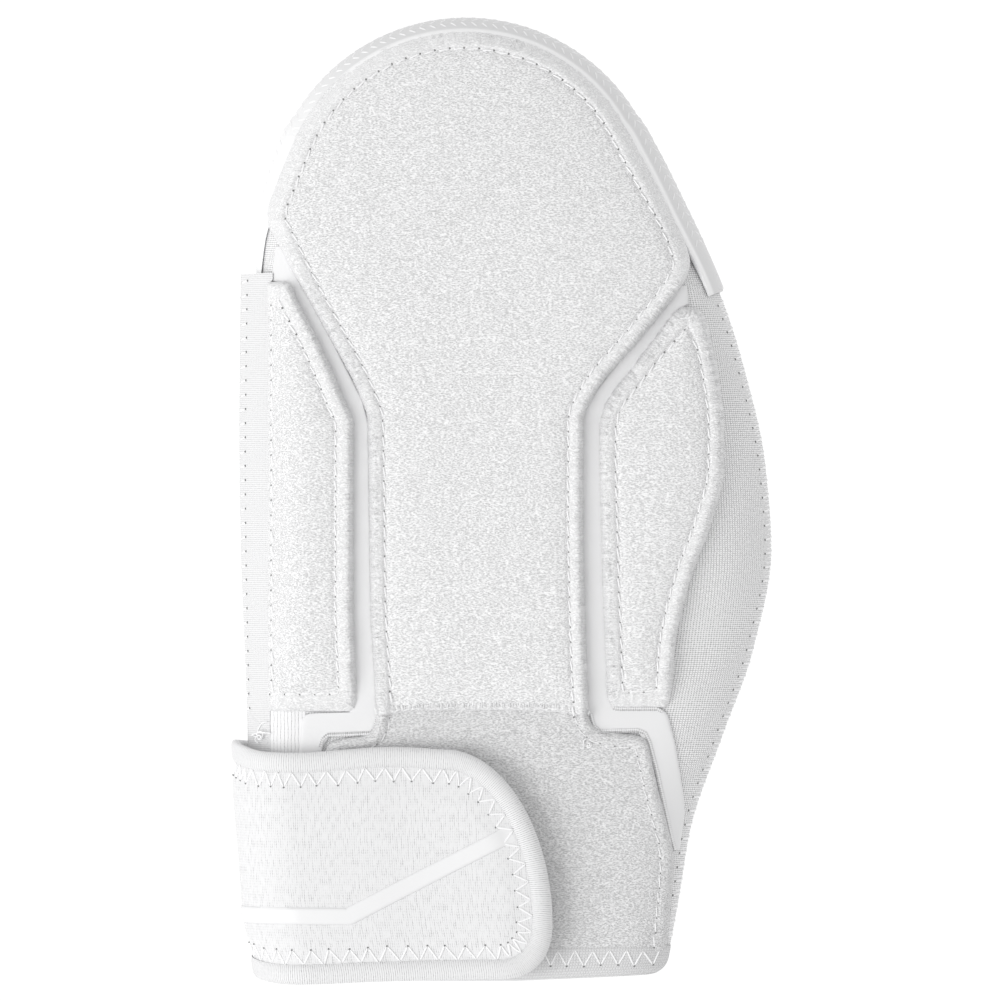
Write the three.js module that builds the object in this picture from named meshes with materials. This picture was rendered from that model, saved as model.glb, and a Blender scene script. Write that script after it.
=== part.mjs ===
// A sliding mitt: the padded guard that a base runner wears over one hand, lying on its palm side.
// Millimetres, +Z up, fingertips towards +Y. The origin is the bottom centre of the mitt's box.
import * as THREE from "three";
import { mergeVertices } from "three/addons/utils/BufferGeometryUtils.js";

// Clearance and wall thicknesses
const GAP = 0.3; // between neighbouring pieces
const FRONT_WALL = 2.5; // knit-faced neoprene over the back of the hand
const BACK_WALL = 3; // knit-faced neoprene under the palm
const GUARD_WALL = 2.1; // moulded rubber at the fingertips
const GUARD_END_WALL = 1; // the same at its two thinned ends
const FILM = 0.8;
const PANEL_PILE = 2; // loop pile that the strap fastens on
const PAD_SEAT = 0.75; // from the front wall to a pad's underside
const LAYER_SEAT = 0.4; // from a wall to the underside of film, pile or band
const HEM_WALL = 1;
const BAND_WALL = 1.2;
const STRAP_CORE = 1.8;
const BINDING_WALL = 0.6;
const BINDING_GAP = 0.2; // between the strap and its binding

// The mitt's outer form: the side seam in plan, and the heights of underside, seam and top
const CROWN = { fall: 4, width: 50 }; // how far the front wall falls from its middle to its sides
const BACK_ROUND = 14; // width of the rounded side under the seam
const ROUND_BLEND = { from: 0.3, to: 0.7 }; // share of the width where the left rounding becomes the right
const HEAD = { x: -9.8, y: 79.7, from: 107.2, radius: 53.55 }; // arc round the fingertips
const BODY = [
  { y: -132.3, left: -64.4, right: 46.4, base: 5, seam: 17, top: 30, roundLeft: 14, roundRight: 14 },
  { y: -112, left: -67.2, right: 50.1, base: 5, seam: 17, top: 31, roundLeft: 14, roundRight: 15 },
  { y: -92, left: -68.6, right: 53.5, base: 5, seam: 17, top: 32, roundLeft: 13, roundRight: 16 },
  { y: -66, left: -69.2, right: 62.5, base: 5, seam: 16, top: 33, roundLeft: 12, roundRight: 18 },
  { y: -42, left: -69.2, right: 71.1, base: 0, seam: 14, top: 34, roundLeft: 12, roundRight: 20 },
  { y: -14, left: -69.2, right: 76.2, base: 0, seam: 13.5, top: 35, roundLeft: 12, roundRight: 21 },
  { y: 10, left: -69.1, right: 74.5, base: 0, seam: 13.5, top: 35, roundLeft: 12, roundRight: 20 },
  { y: 38, left: -68.6, right: 68.3, base: 0, seam: 13.5, top: 34, roundLeft: 11, roundRight: 16 },
  { y: 59, left: -68.2, right: 61.4, base: 1.2, seam: 13.5, top: 33, roundLeft: 10, roundRight: 12 },
  { y: 79, left: -67.2, right: 51.4, base: 2.4, seam: 13.5, top: 31.5, roundLeft: 9, roundRight: 9 },
  { y: 98, left: -61.2, right: 41.9, base: 2.4, seam: 13, top: 29.5, roundLeft: 8, roundRight: 8 },
  { y: 107.2, left: -55.75, right: 36.15, base: 2.4, seam: 13, top: 28.5, roundLeft: 8, roundRight: 8 },
  { y: 133.3, left: -9.8, right: -9.8, base: 2.4, seam: 12.5, top: 26, roundLeft: 8, roundRight: 8 },
];

// Plan outlines of the padding, from its top end to its bottom end
const CENTER_ARCH = { x: -10.6, y: 80.1, from: 100.8, radius: 49.7 };
const CENTER_PAD = [
  { y: 100.8, left: -55.9, right: 34.6 },
  { y: 90, left: -60.6, right: 41.1 },
  { y: 80, left: -64.3, right: 46.6 },
  { y: 77.6, left: -64.4, right: 47.9 },
  { y: 72.5, left: -62.4, right: 50.3 },
  { y: 66.5, left: -59.4, right: 52.4 },
  { y: 63, left: -57.6, right: 51.8 },
  { y: 59.5, left: -55.6, right: 49.6 },
  { y: 46.3, left: -48.2, right: 39.2 },
  { y: 29, left: -39.3, right: 25 },
  { y: 22, left: -37.1, right: 22.3 },
  { y: 0, left: -36.7, right: 22.2 },
  { y: -28, left: -36.4, right: 22.6 },
  { y: -59, left: -34.6, right: 23.9 },
];
const LEFT_PAD = [
  { y: 60.6, left: -64.4, right: -61.4 },
  { y: 56.4, left: -65, right: -58.8 },
  { y: 44.7, left: -65, right: -52.6 },
  { y: 28, left: -65, right: -44.8 },
  { y: 21.5, left: -65, right: -42.1 },
  { y: -28, left: -64.8, right: -42.3 },
  { y: -56, left: -64, right: -41.4 },
  { y: -59.2, left: -62.6, right: -42.6 },
];
const RIGHT_PAD = [
  { y: 54.2, left: 51.2, right: 53 },
  { y: 51.4, left: 48.4, right: 56.2 },
  { y: 47.5, left: 45.6, right: 57.4 },
  { y: 37.4, left: 37.8, right: 59.6 },
  { y: 25.5, left: 29.2, right: 61.5 },
  { y: 19.5, left: 27.9, right: 61.9 },
  { y: 8.3, left: 27.9, right: 61.6 },
  { y: -5.7, left: 28.3, right: 58.2 },
  { y: -22.5, left: 28.7, right: 52.1 },
  { y: -39.3, left: 29.4, right: 48.2 },
  { y: -55, left: 30.1, right: 46.8 },
  { y: -58.1, left: 31.6, right: 45.2 },
];
// Height of a pad above its seat, by the distance in from its edge: rolled border, stitch line, field
const PAD_PROFILE = [
  { inset: 0, height: 1.2 },
  { inset: 1.6, height: 3.4 },
  { inset: 4.4, height: 3 },
  { inset: 7.5, height: 4.4 },
  { inset: 14, height: 4.8 },
];
const PAD_FULL_WIDTH = 2.6; // a pad narrower than this many borders has its borders squeezed
const WRIST_PANEL = [
  { y: -59.5, left: -33.6, right: 20.6 },
  { y: -64.8, left: -35.6, right: 24.6 },
  { y: -65.8, left: -36.4, right: 27.2 },
  { y: -66.6, left: -47.6, right: 38.8 },
  { y: -69, left: -49.4, right: 41 },
  { y: -81.3, left: -52.4, right: 45 },
  { y: -98, left: -54.4, right: 48.4 },
  { y: -112, left: -55, right: 48 },
  { y: -124.6, left: -55, right: 46 },
];
const LEFT_FILM = [
  { y: 71, left: -62.4, right: -62.2 },
  { y: 61.5, left: -63.6, right: -57.3 },
  { y: 61, left: -60.9, right: -57 },
  { y: 56.4, left: -58.3, right: -54.3 },
  { y: 44.7, left: -52, right: -47.9 },
  { y: 28, left: -44.3, right: -39.4 },
  { y: 21.5, left: -41.6, right: -37.6 },
  { y: -28, left: -41.7, right: -36.9 },
  { y: -56, left: -40.8, right: -35.3 },
  { y: -59.4, left: -41.6, right: -35 },
  { y: -59.9, left: -53.6, right: -35 },
  { y: -61.2, left: -55.2, right: -35.2 },
  { y: -64.6, left: -55.2, right: -36.4 },
  { y: -65.1, left: -55.2, right: -47.8 },
  { y: -68.7, left: -55.4, right: -50.2 },
  { y: -81.3, left: -57.4, right: -53.2 },
  { y: -97, left: -58, right: -55.4 },
];
const RIGHT_FILM = [
  { y: 60, left: 50.8, right: 51.6 },
  { y: 54.8, left: 46.6, right: 52 },
  { y: 54.1, left: 46, right: 50.6 },
  { y: 47.5, left: 40.7, right: 45.1 },
  { y: 37.4, left: 32.6, right: 37.3 },
  { y: 26, left: 24.1, right: 29 },
  { y: 19.5, left: 22.8, right: 27.4 },
  { y: -5.7, left: 22.8, right: 27.8 },
  { y: -28, left: 23.1, right: 28.4 },
  { y: -55, left: 24.2, right: 29.6 },
  { y: -58.2, left: 24.4, right: 31 },
  { y: -58.7, left: 24.5, right: 44.4 },
  { y: -61, left: 24.8, right: 46.4 },
  { y: -64.3, left: 26.6, right: 47.2 },
  { y: -64.9, left: 39.2, right: 47.4 },
  { y: -68.7, left: 41.5, right: 48.3 },
  { y: -81.3, left: 45.5, right: 50.4 },
  { y: -87, left: 47, right: 51 },
  { y: -98, left: 49, right: 49.6 },
];

// Rubber guard: how far its lips reach in over the front and under the back
const GUARD_LEFT_END = 78.5;
const GUARD_RIGHT_END = 60;
const GUARD_FRONT_LIP = 2.3;
const GUARD_BACK_LIP = { end: 3, tip: 10 };
const GUARD_THINNING = 24; // length over which its wall thins towards each end

// Knit band folded over the left side seam
const BAND = { frontEdge: -65.4, backLip: 5, thinning: 0.7 };
const BAND_EDGE = [
  { y: 63.6, outer: -73.1 },
  { y: 16.7, outer: -73.5 },
  { y: -11.3, outer: -73.1 },
  { y: -57, outer: -71.4 },
];

// Hem round the wrist mouth
const HEM = { top: -125, end: -133.8 };

// Wrist strap: left turn by height, straight edges, and a free end of two superellipse quarters
const STRAP_TOP = -69.6;
const STRAP_BOTTOM = [
  { along: -20, y: -133.6 },
  { along: -6, y: -135.6 },
  { along: 18, y: -134.6 },
  { along: 46, y: -133.9 },
]; // lower edge, by the length past the left turn
const STRAP_TURN = [
  { y: -69, left: -75.9 },
  { y: -84, left: -75 },
  { y: -101, left: -73.6 },
  { y: -115, left: -72.5 },
  { y: -129, left: -70.3 },
  { y: -135.6, left: -69.4 },
];
const STRAP_END = {
  x: 13.7,
  y: -118,
  upperReach: 30.7,
  upperPower: 1.85,
  lowerReach: 15.7,
  lowerPower: 2.4,
};
const STRAP_BACK_END = 34; // x of the sewn end under the wrist
const STRAP_LIFT = { front: 4.4, back: 3.3 }; // middle of the strap above the wall
const TURN_LENGTH = 40; // length of strap given to the turn round the left side
const BINDING_WIDTH = 4.8;
const STRIPE = { width: 4.7, leftY: -116.3, bendX: -42.3, endX: -1, endY: -95.1, rise: 0.4 };

// Numbers of facets along each form
const SIDE_STEPS = 15;
const ARCH_STEPS = 6;
const WALL_STEPS = 16;
const PAD_ARCH_STEPS = 7;
const GUARD_STEPS = { left: 6, right: 9, arch: 9, lip: 4 };
const BAND_STEPS = { along: 14, lip: 4 };
const HEM_STEPS = 16;
const STRAP_STEPS = { back: 3, turn: 8, front: 4, end: 8 };
const STRIPE_STEPS = 5;
const SEAM_STEPS = { side: 80, arch: 30 };

// Colours and finishes
const FINISHES = {
  knit: { color: 0xd9d9da, roughness: 0.9, metalness: 0 },
  terry: { color: 0xe9e9ea, roughness: 1, metalness: 0 },
  pile: { color: 0xd6d6d8, roughness: 1, metalness: 0 },
  film: { color: 0xf1f1f2, roughness: 0.45, metalness: 0 },
  rubber: { color: 0xececed, roughness: 0.6, metalness: 0 },
  strapKnit: { color: 0xeeeeef, roughness: 0.9, metalness: 0 },
};

const lerp = THREE.MathUtils.lerp;
const clamp = THREE.MathUtils.clamp;

// A smooth curve through one column of a table, with no overshoot between rows (monotone cubic)
function column(rows, key, by = "y") {
  const sorted = [...rows].sort((a, b) => a[by] - b[by]);
  const at = sorted.map((row) => row[by]);
  const value = sorted.map((row) => row[key]);
  const chord = at.slice(1).map((end, i) => (value[i + 1] - value[i]) / (end - at[i]));
  const slope = value.map((_, i) => {
    if (i === 0) return chord[0];
    if (i === chord.length) return chord[i - 1];
    const product = chord[i - 1] * chord[i];
    return product <= 0 ? 0 : (2 * product) / (chord[i - 1] + chord[i]);
  });
  return (where) => {
    const spot = clamp(where, at[0], at[at.length - 1]);
    const next = at.findIndex((end, i) => i > 0 && spot <= end);
    const span = at[next] - at[next - 1];
    const t = (spot - at[next - 1]) / span;
    const from = (1 + 2 * t) * (1 - t) ** 2 * value[next - 1] + t * (1 - t) ** 2 * span * slope[next - 1];
    const to = t * t * (3 - 2 * t) * value[next] + t * t * (t - 1) * span * slope[next];
    return from + to;
  };
}

// Straight lines through one column of a table
function straightColumn(rows, key) {
  const sorted = [...rows].sort((a, b) => a.y - b.y);
  return (y) => {
    const next = clamp(sorted.findIndex((row) => row.y >= y), 1, sorted.length - 1);
    const low = sorted[next - 1];
    const high = sorted[next];
    return lerp(low[key], high[key], clamp((y - low.y) / (high.y - low.y), 0, 1));
  };
}

const base = column(BODY, "base");
const seam = column(BODY, "seam");
const top = column(BODY, "top");
const roundLeft = column(BODY, "roundLeft");
const roundRight = column(BODY, "roundRight");
const sideColumn = { left: column(BODY, "left"), right: column(BODY, "right") };
const WRIST = BODY[0].y;

// Half the width of an arch at height y
function archHalf(arch, y) {
  return Math.sqrt(Math.max(0, arch.radius ** 2 - (y - arch.y) ** 2));
}

// Where the side seam runs at height y
function sideX(side, y) {
  if (y <= HEAD.from) return sideColumn[side](y);
  return HEAD.x + (side === "left" ? -1 : 1) * archHalf(HEAD, y);
}

// A point of the side seam with its outward direction, at height y below the fingertip arc
function sideAt(side, y) {
  const step = 0.05;
  const lean = (sideX(side, Math.min(y + step, HEAD.from)) - sideX(side, y - step)) / (2 * step);
  const length = Math.hypot(1, lean);
  const way = side === "left" ? -1 : 1;
  return { x: sideX(side, y), y, nx: way / length, ny: (-way * lean) / length };
}

// A point of the fingertip arc with its outward direction; share runs from its foot, 0, to its apex, 1
function archAt(side, share) {
  const foot = Math.asin((HEAD.from - HEAD.y) / HEAD.radius);
  const angle = lerp(foot, Math.PI / 2, share);
  const nx = (side === "left" ? -1 : 1) * Math.cos(angle);
  const ny = Math.sin(angle);
  return { x: HEAD.x + HEAD.radius * nx, y: HEAD.y + HEAD.radius * ny, nx, ny };
}

// One side of the seam from height "from" to the apex
function sidePoints(side, from, sideSteps, archSteps) {
  const points = [];
  for (let i = 0; i < sideSteps; i++) {
    points.push(sideAt(side, lerp(from, HEAD.from, i / sideSteps)));
  }
  for (let i = 0; i <= archSteps; i++) {
    points.push(archAt(side, i / archSteps));
  }
  return points;
}

// Shortest distance from (x, y) to a line of points
function distanceTo(line, x, y) {
  let nearest = Infinity;
  for (let i = 1; i < line.length; i++) {
    const from = line[i - 1];
    const dx = line[i].x - from.x;
    const dy = line[i].y - from.y;
    const square = dx * dx + dy * dy;
    const t = square === 0 ? 0 : clamp(((x - from.x) * dx + (y - from.y) * dy) / square, 0, 1);
    nearest = Math.min(nearest, Math.hypot(x - from.x - t * dx, y - from.y - t * dy));
  }
  return nearest;
}

const BELOW_WRIST = WRIST - 20; // the seam line runs on past the mouth
const SEAM_LINE = [
  ...sidePoints("left", BELOW_WRIST, SEAM_STEPS.side, SEAM_STEPS.arch),
  ...sidePoints("right", BELOW_WRIST, SEAM_STEPS.side, SEAM_STEPS.arch).reverse(),
];

// Distance in from the side seam, negative outside it
function seamInset(x, y) {
  const apex = HEAD.y + HEAD.radius;
  const inside = y < apex && x > sideX("left", y) && x < sideX("right", y);
  return (inside ? 1 : -1) * distanceTo(SEAM_LINE, x, y);
}

// Rise of a quarter ellipse, from 0 at the seam to 1 at the given width in from it
function swell(inset, width) {
  const t = clamp(inset / width, 0, 1);
  return Math.sqrt(t * (2 - t));
}

// Height of the front wall's outer face, moved out by "offset", over (x, y) at an inset from the seam
function frontZ(x, y, inset, offset) {
  const across = clamp((x - sideX("left", y)) / Math.max(1, sideX("right", y) - sideX("left", y)), 0, 1);
  const blend = THREE.MathUtils.smoothstep(across, ROUND_BLEND.from, ROUND_BLEND.to);
  const round = lerp(roundLeft(y), roundRight(y), blend);
  const peak = top(y) - CROWN.fall * clamp(1 - inset / CROWN.width, 0, 1) ** 2;
  return seam(y) + (peak - seam(y) + offset) * swell(inset + offset, round + offset);
}

// Height of the back wall's outer face, moved out by "offset"
function backZ(y, inset, offset) {
  return seam(y) - (seam(y) - base(y) + offset) * swell(inset + offset, BACK_ROUND + offset);
}

// The front face moved out by "offset", at a plan point
function onFront(x, y, offset) {
  return new THREE.Vector3(x, y, frontZ(x, y, seamInset(x, y), offset));
}

// A closed mesh from triangles of points: slivers dropped, corners shared, faces turned outwards
function closedMesh(triangles) {
  const solid = triangles.filter(([a, b, c]) => {
    const sliver = 1e-3;
    return a.distanceTo(b) > sliver && b.distanceTo(c) > sliver && c.distanceTo(a) > sliver;
  });
  const volume = solid.reduce((sum, [a, b, c]) => sum + a.dot(b.clone().cross(c)), 0);
  const facing = volume < 0 ? solid.map(([a, b, c]) => [a, c, b]) : solid;
  const geometry = new THREE.BufferGeometry().setFromPoints(facing.flat());
  const shared = mergeVertices(geometry, 1e-3);
  shared.computeVertexNormals();
  return shared;
}

// Two triangles for each cell of a grid of points
function gridTriangles(grid, turned) {
  const triangles = [];
  for (let i = 1; i < grid.length; i++) {
    for (let j = 1; j < grid[i].length; j++) {
      const [a, b, c, d] = [grid[i - 1][j - 1], grid[i - 1][j], grid[i][j], grid[i][j - 1]];
      triangles.push(...(turned ? [[a, c, b], [a, d, c]] : [[a, b, c], [a, c, d]]));
    }
  }
  return triangles;
}

// A closed plate between two grids of points with the same rows and columns
function plate(outer, inner) {
  const last = outer.length - 1;
  const end = outer[0].length - 1;
  const rims = [
    [outer[0], inner[0]],
    [inner[last], outer[last]],
    [inner.map((row) => row[0]), outer.map((row) => row[0])],
    [outer.map((row) => row[end]), inner.map((row) => row[end])],
  ];
  return closedMesh([
    ...gridTriangles(outer, false),
    ...gridTriangles(inner, true),
    ...rims.flatMap((rim) => gridTriangles(rim, true)),
  ]);
}

// A closed section carried once round a loop of rings
function loopSolid(rings) {
  const closed = rings.map((ring) => [...ring, ring[0]]);
  return closedMesh(gridTriangles([...closed, closed[0]], false));
}

// Evenly spaced numbers, both ends kept
function steps(from, to, count) {
  return Array.from({ length: count + 1 }, (_, i) => lerp(from, to, i / count));
}

// Shares from 0 to 1, closer together at both ends
function easedShares(count) {
  return steps(0, Math.PI, count).map((angle) => (1 - Math.cos(angle)) / 2);
}

// The seam's left and right points, paired from the wrist to the fingertip
const LADDER = {
  left: sidePoints("left", WRIST, SIDE_STEPS, ARCH_STEPS),
  right: sidePoints("right", WRIST, SIDE_STEPS, ARCH_STEPS),
};

// A wall of the pocket: one grid moved out by "offset" from the mitt's outer form
function wallGrid(face, offset) {
  const shares = easedShares(WALL_STEPS);
  return LADDER.left.map((left, i) => {
    const right = LADDER.right[i];
    const level = i === 0 ? 0 : 1; // the wrist edge stays square
    const from = { x: left.x + offset * left.nx, y: left.y + level * offset * left.ny };
    const to = { x: right.x + offset * right.nx, y: right.y + level * offset * right.ny };
    return shares.map((share) => {
      const x = lerp(from.x, to.x, share);
      const y = lerp(from.y, to.y, share);
      const edge = share === 0 || share === 1 || i === LADDER.left.length - 1;
      const inset = edge ? -offset : seamInset(x, y);
      const apart = GAP / 2;
      const z = face === "front"
        ? Math.max(frontZ(x, y, inset, offset), seam(y) + apart)
        : Math.min(backZ(y, inset, offset), seam(y) - apart);
      return new THREE.Vector3(x, y, z);
    });
  });
}

function frontPanel() {
  return plate(wallGrid("front", 0), wallGrid("front", -FRONT_WALL));
}

function backPanel() {
  return plate(wallGrid("back", 0), wallGrid("back", -BACK_WALL));
}

// Plan edges of a pad, with an arch above its table where it has one
function padEdges(rows, arch) {
  const left = column(rows, "left");
  const right = column(rows, "right");
  return (y) => {
    if (!arch || y <= arch.from) return [left(y), right(y)];
    return [arch.x - archHalf(arch, y), arch.x + archHalf(arch, y)];
  };
}

// Distances in from one end of a span: the profile's insets, then even steps to the other end's insets
function profileStops(span, insets, inner) {
  const squeeze = Math.min(1, span / (PAD_FULL_WIDTH * insets[insets.length - 1]));
  const near = insets.map((inset) => inset * squeeze);
  const far = near.map((inset) => span - inset).reverse();
  const middle = steps(near[near.length - 1], far[0], inner).slice(1, -1);
  return [...near, ...middle, ...far];
}

// A foam pad seated on the front wall: rolled border, stitch line and raised field
function pad(rows, { arch = null, rowSteps, columnSteps, stops }) {
  const edges = padEdges(rows, arch);
  const insets = PAD_PROFILE.slice(0, stops).map((row) => row.inset);
  const height = column(PAD_PROFILE, "height", "inset");
  const low = rows[rows.length - 1].y;
  const high = arch ? arch.y + arch.radius : rows[0].y;
  const stations = profileStops(high - low, insets, rowSteps).map((drop) => high - drop);
  if (arch) {
    const angles = steps(Math.PI / 2, Math.asin((arch.from - arch.y) / arch.radius), PAD_ARCH_STEPS);
    const archRows = angles.map((angle) => arch.y + arch.radius * Math.sin(angle));
    stations.splice(0, stations.filter((y) => y >= arch.from).length, ...archRows);
  }
  const outline = [
    ...stations.map((y) => ({ x: edges(y)[0], y })),
    ...[...stations].reverse().map((y) => ({ x: edges(y)[1], y })),
  ];
  outline.push(outline[0]);
  const grid = (offsetAt) => stations.map((y) => {
    const [left, right] = edges(y);
    return profileStops(right - left, insets, columnSteps).map((drop) => {
      const x = left + drop;
      return onFront(x, y, offsetAt(x, y));
    });
  });
  return plate(
    grid((x, y) => PAD_SEAT + height(distanceTo(outline, x, y))),
    grid(() => PAD_SEAT),
  );
}

// A thin flat layer on the front wall between two straight-edged sides
function layer(rows, thickness, shares, rowSpacing) {
  const left = straightColumn(rows, "left");
  const right = straightColumn(rows, "right");
  const stations = rows.flatMap((row, i) => {
    if (i === 0) return [row.y];
    const count = Math.max(1, Math.round((rows[i - 1].y - row.y) / rowSpacing));
    return steps(rows[i - 1].y, row.y, count).slice(1);
  });
  const grid = (offset) => stations.map((y) =>
    shares.map((share) => onFront(lerp(left(y), right(y), share), y, offset)));
  return plate(grid(LAYER_SEAT + thickness), grid(LAYER_SEAT));
}

// The guard's run along the seam, from its left end over the apex to its right end
function guardRun() {
  const left = sidePoints("left", GUARD_LEFT_END, GUARD_STEPS.left, GUARD_STEPS.arch);
  const right = sidePoints("right", GUARD_RIGHT_END, GUARD_STEPS.right, GUARD_STEPS.arch);
  return [...left, ...right.reverse().slice(1)];
}

// Rubber guard: a channel hooked over the fingertip edge, its wall thinned at both ends
function tipGuard() {
  const run = guardRun();
  const lengths = [0];
  run.slice(1).forEach((point, i) => {
    lengths.push(lengths[i] + Math.hypot(point.x - run[i].x, point.y - run[i].y));
  });
  const whole = lengths[lengths.length - 1];
  const grid = (outerFace) => run.map((point, i) => {
    const fromEnd = Math.min(lengths[i], whole - lengths[i]);
    const wall = lerp(GUARD_END_WALL, GUARD_WALL, THREE.MathUtils.smoothstep(fromEnd, 0, GUARD_THINNING));
    const offset = GAP + (outerFace ? wall : 0);
    const round = point.x < HEAD.x ? roundLeft(point.y) : roundRight(point.y);
    const backLip = lerp(GUARD_BACK_LIP.end, GUARD_BACK_LIP.tip, Math.sin((Math.PI * lengths[i]) / whole));
    const turn = (lip, width) => Math.acos(1 - (lip + offset) / (width + offset));
    const front = steps(turn(GUARD_FRONT_LIP, round), 0, GUARD_STEPS.lip);
    const back = steps(0, turn(backLip, BACK_ROUND), GUARD_STEPS.lip).slice(1);
    const at = (angle, width) => (width + offset) * (1 - Math.cos(angle)) - offset;
    const spot = (inset, z) => new THREE.Vector3(point.x - point.nx * inset, point.y - point.ny * inset, z);
    return [
      ...front.map((angle) => {
        const inset = at(angle, round);
        const { x, y } = spot(inset, 0);
        return spot(inset, frontZ(x, y, inset, offset));
      }),
      ...back.map((angle) => {
        const inset = at(angle, BACK_ROUND);
        return spot(inset, backZ(spot(inset, 0).y, inset, offset));
      }),
    ];
  });
  return plate(grid(true), grid(false));
}

// Knit band folded round the left seam, thickest at its sewn edge
function leftEdgeBand() {
  const outer = column(BAND_EDGE, "outer");
  const stations = steps(BAND_EDGE[0].y, BAND_EDGE[BAND_EDGE.length - 1].y, BAND_STEPS.along);
  const grid = (outerFace) => stations.map((y) => {
    const edge = sideX("left", y);
    const nose = edge - outer(y) - LAYER_SEAT;
    const round = roundLeft(y);
    const reach = { front: BAND.frontEdge - edge, back: BAND.backLip };
    const offsetAt = (share) => LAYER_SEAT + (outerFace ? lerp(nose, BAND_WALL, share ** BAND.thinning) : 0);
    const spot = (face, share) => {
      const offset = offsetAt(share);
      const width = face === "front" ? round : BACK_ROUND;
      const turn = share * Math.acos(1 - (reach[face] + offset) / (width + offset));
      const inset = (width + offset) * (1 - Math.cos(turn)) - offset;
      const x = edge + inset;
      const z = face === "front" ? frontZ(x, y, inset, offset) : backZ(y, inset, offset);
      return new THREE.Vector3(x, y, z);
    };
    return [
      ...steps(1, 0, BAND_STEPS.lip).map((share) => spot("front", share)),
      ...steps(0, 1, BAND_STEPS.lip).slice(1).map((share) => spot("back", share)),
    ];
  });
  return plate(grid(true), grid(false));
}

// Hem: a channel folded over the wrist edge of both walls, all the way round the mouth
function wristBinding() {
  const inside = -BACK_WALL - GAP;
  const section = [
    { offset: GAP + HEM_WALL, y: HEM.top },
    { offset: GAP + HEM_WALL, y: HEM.end },
    { offset: inside - HEM_WALL, y: HEM.end },
    { offset: inside - HEM_WALL, y: HEM.top },
    { offset: inside, y: HEM.top },
    { offset: inside, y: WRIST - GAP },
    { offset: GAP, y: WRIST - GAP },
    { offset: GAP, y: HEM.top },
  ];
  const spot = (face, share, { offset, y }) => {
    const left = sideX("left", y) - offset;
    const right = sideX("right", y) + offset;
    const x = lerp(left, right, share);
    const inset = Math.min(x - left, right - x) - offset;
    const z = face === "front" ? frontZ(x, y, inset, offset) : backZ(y, inset, offset);
    return new THREE.Vector3(x, y, z);
  };
  const shares = easedShares(HEM_STEPS);
  const rings = [
    ...shares.map((share) => section.map((corner) => spot("front", share, corner))),
    ...shares.slice(1, -1).reverse().map((share) => section.map((corner) => spot("back", share, corner))),
  ];
  return loopSolid(rings);
}

const strapLeft = column(STRAP_TURN, "left");
const BINDING_OUT = STRAP_CORE / 2 + BINDING_GAP + BINDING_WALL;

// The strap unrolled: "along" is the length past its turn, with the front from 0 up and the back below
// minus TURN_LENGTH; the result is the point "offset" above the middle of the strap
function strapPoint(along, y, offset) {
  const edge = sideX("left", y);
  const turnLift = edge - strapLeft(y) - BINDING_OUT;
  if (along <= -TURN_LENGTH) {
    const x = edge + BACK_ROUND - (along + TURN_LENGTH);
    return new THREE.Vector3(x, y, backZ(y, BACK_ROUND, STRAP_LIFT.back + offset));
  }
  const face = along > -TURN_LENGTH / 2 ? "front" : "back";
  const width = face === "front" ? roundLeft(y) : BACK_ROUND;
  if (along >= 0) {
    const x = edge + width + along;
    const inset = Math.min(width + along, sideX("right", y) - x);
    return new THREE.Vector3(x, y, frontZ(x, y, inset, STRAP_LIFT.front + offset));
  }
  const share = Math.abs(along + TURN_LENGTH / 2) / (TURN_LENGTH / 2);
  const lift = lerp(turnLift, STRAP_LIFT[face], THREE.MathUtils.smoothstep(share, 0, 1)) + offset;
  const inset = (width + lift) * (1 - Math.cos((share * Math.PI) / 2)) - lift;
  const x = edge + inset;
  const z = face === "front" ? frontZ(x, y, inset, lift) : backZ(y, inset, lift);
  return new THREE.Vector3(x, y, z);
}

// Length along the unrolled strap of a plan point on the front
function alongAt(x, y) {
  return x - sideX("left", y) - roundLeft(y);
}

// The strap's upper or lower edge, unrolled, from the sewn back end to the tip of the free end
function strapEdge(upper) {
  const reach = upper ? STRAP_END.upperReach : STRAP_END.lowerReach;
  const power = upper ? STRAP_END.upperPower : STRAP_END.lowerPower;
  const edgeY = upper ? () => STRAP_TOP : column(STRAP_BOTTOM, "y", "along");
  const start = -TURN_LENGTH - (STRAP_BACK_END - sideX("left", STRAP_END.y) - BACK_ROUND);
  const roundY = edgeY(Infinity);
  const straight = [
    ...steps(start, -TURN_LENGTH, STRAP_STEPS.back).slice(0, -1),
    ...steps(-TURN_LENGTH, 0, STRAP_STEPS.turn).slice(0, -1),
    ...steps(0, alongAt(STRAP_END.x - reach, roundY), STRAP_STEPS.front).slice(0, -1),
  ].map((along) => ({ along, y: edgeY(along) }));
  const height = roundY - STRAP_END.y;
  const round = steps(Math.PI / 2, 0, STRAP_STEPS.end).map((angle) => {
    const x = STRAP_END.x - reach + reach * Math.cos(angle) ** (2 / power);
    const y = STRAP_END.y + height * Math.sin(angle) ** (2 / power);
    return { along: alongAt(x, y), y };
  });
  return [...straight, ...round];
}

// The edge moved in by "inset" across the unrolled strap; its tip moves straight back
function insetEdge(edge, upper, inset) {
  return edge.map((point, i) => {
    if (i === edge.length - 1) return { along: point.along - inset, y: point.y };
    const before = edge[Math.max(0, i - 1)];
    const after = edge[i + 1];
    const length = Math.hypot(after.along - before.along, after.y - before.y);
    const way = upper ? 1 : -1;
    return {
      along: point.along + (way * inset * (after.y - before.y)) / length,
      y: point.y - (way * inset * (after.along - before.along)) / length,
    };
  });
}

// Columns across the strap, with one under each leg of the binding
const STRAP_SHARES = [0, 0.06, 0.35, 0.65, 0.94, 1];

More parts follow.
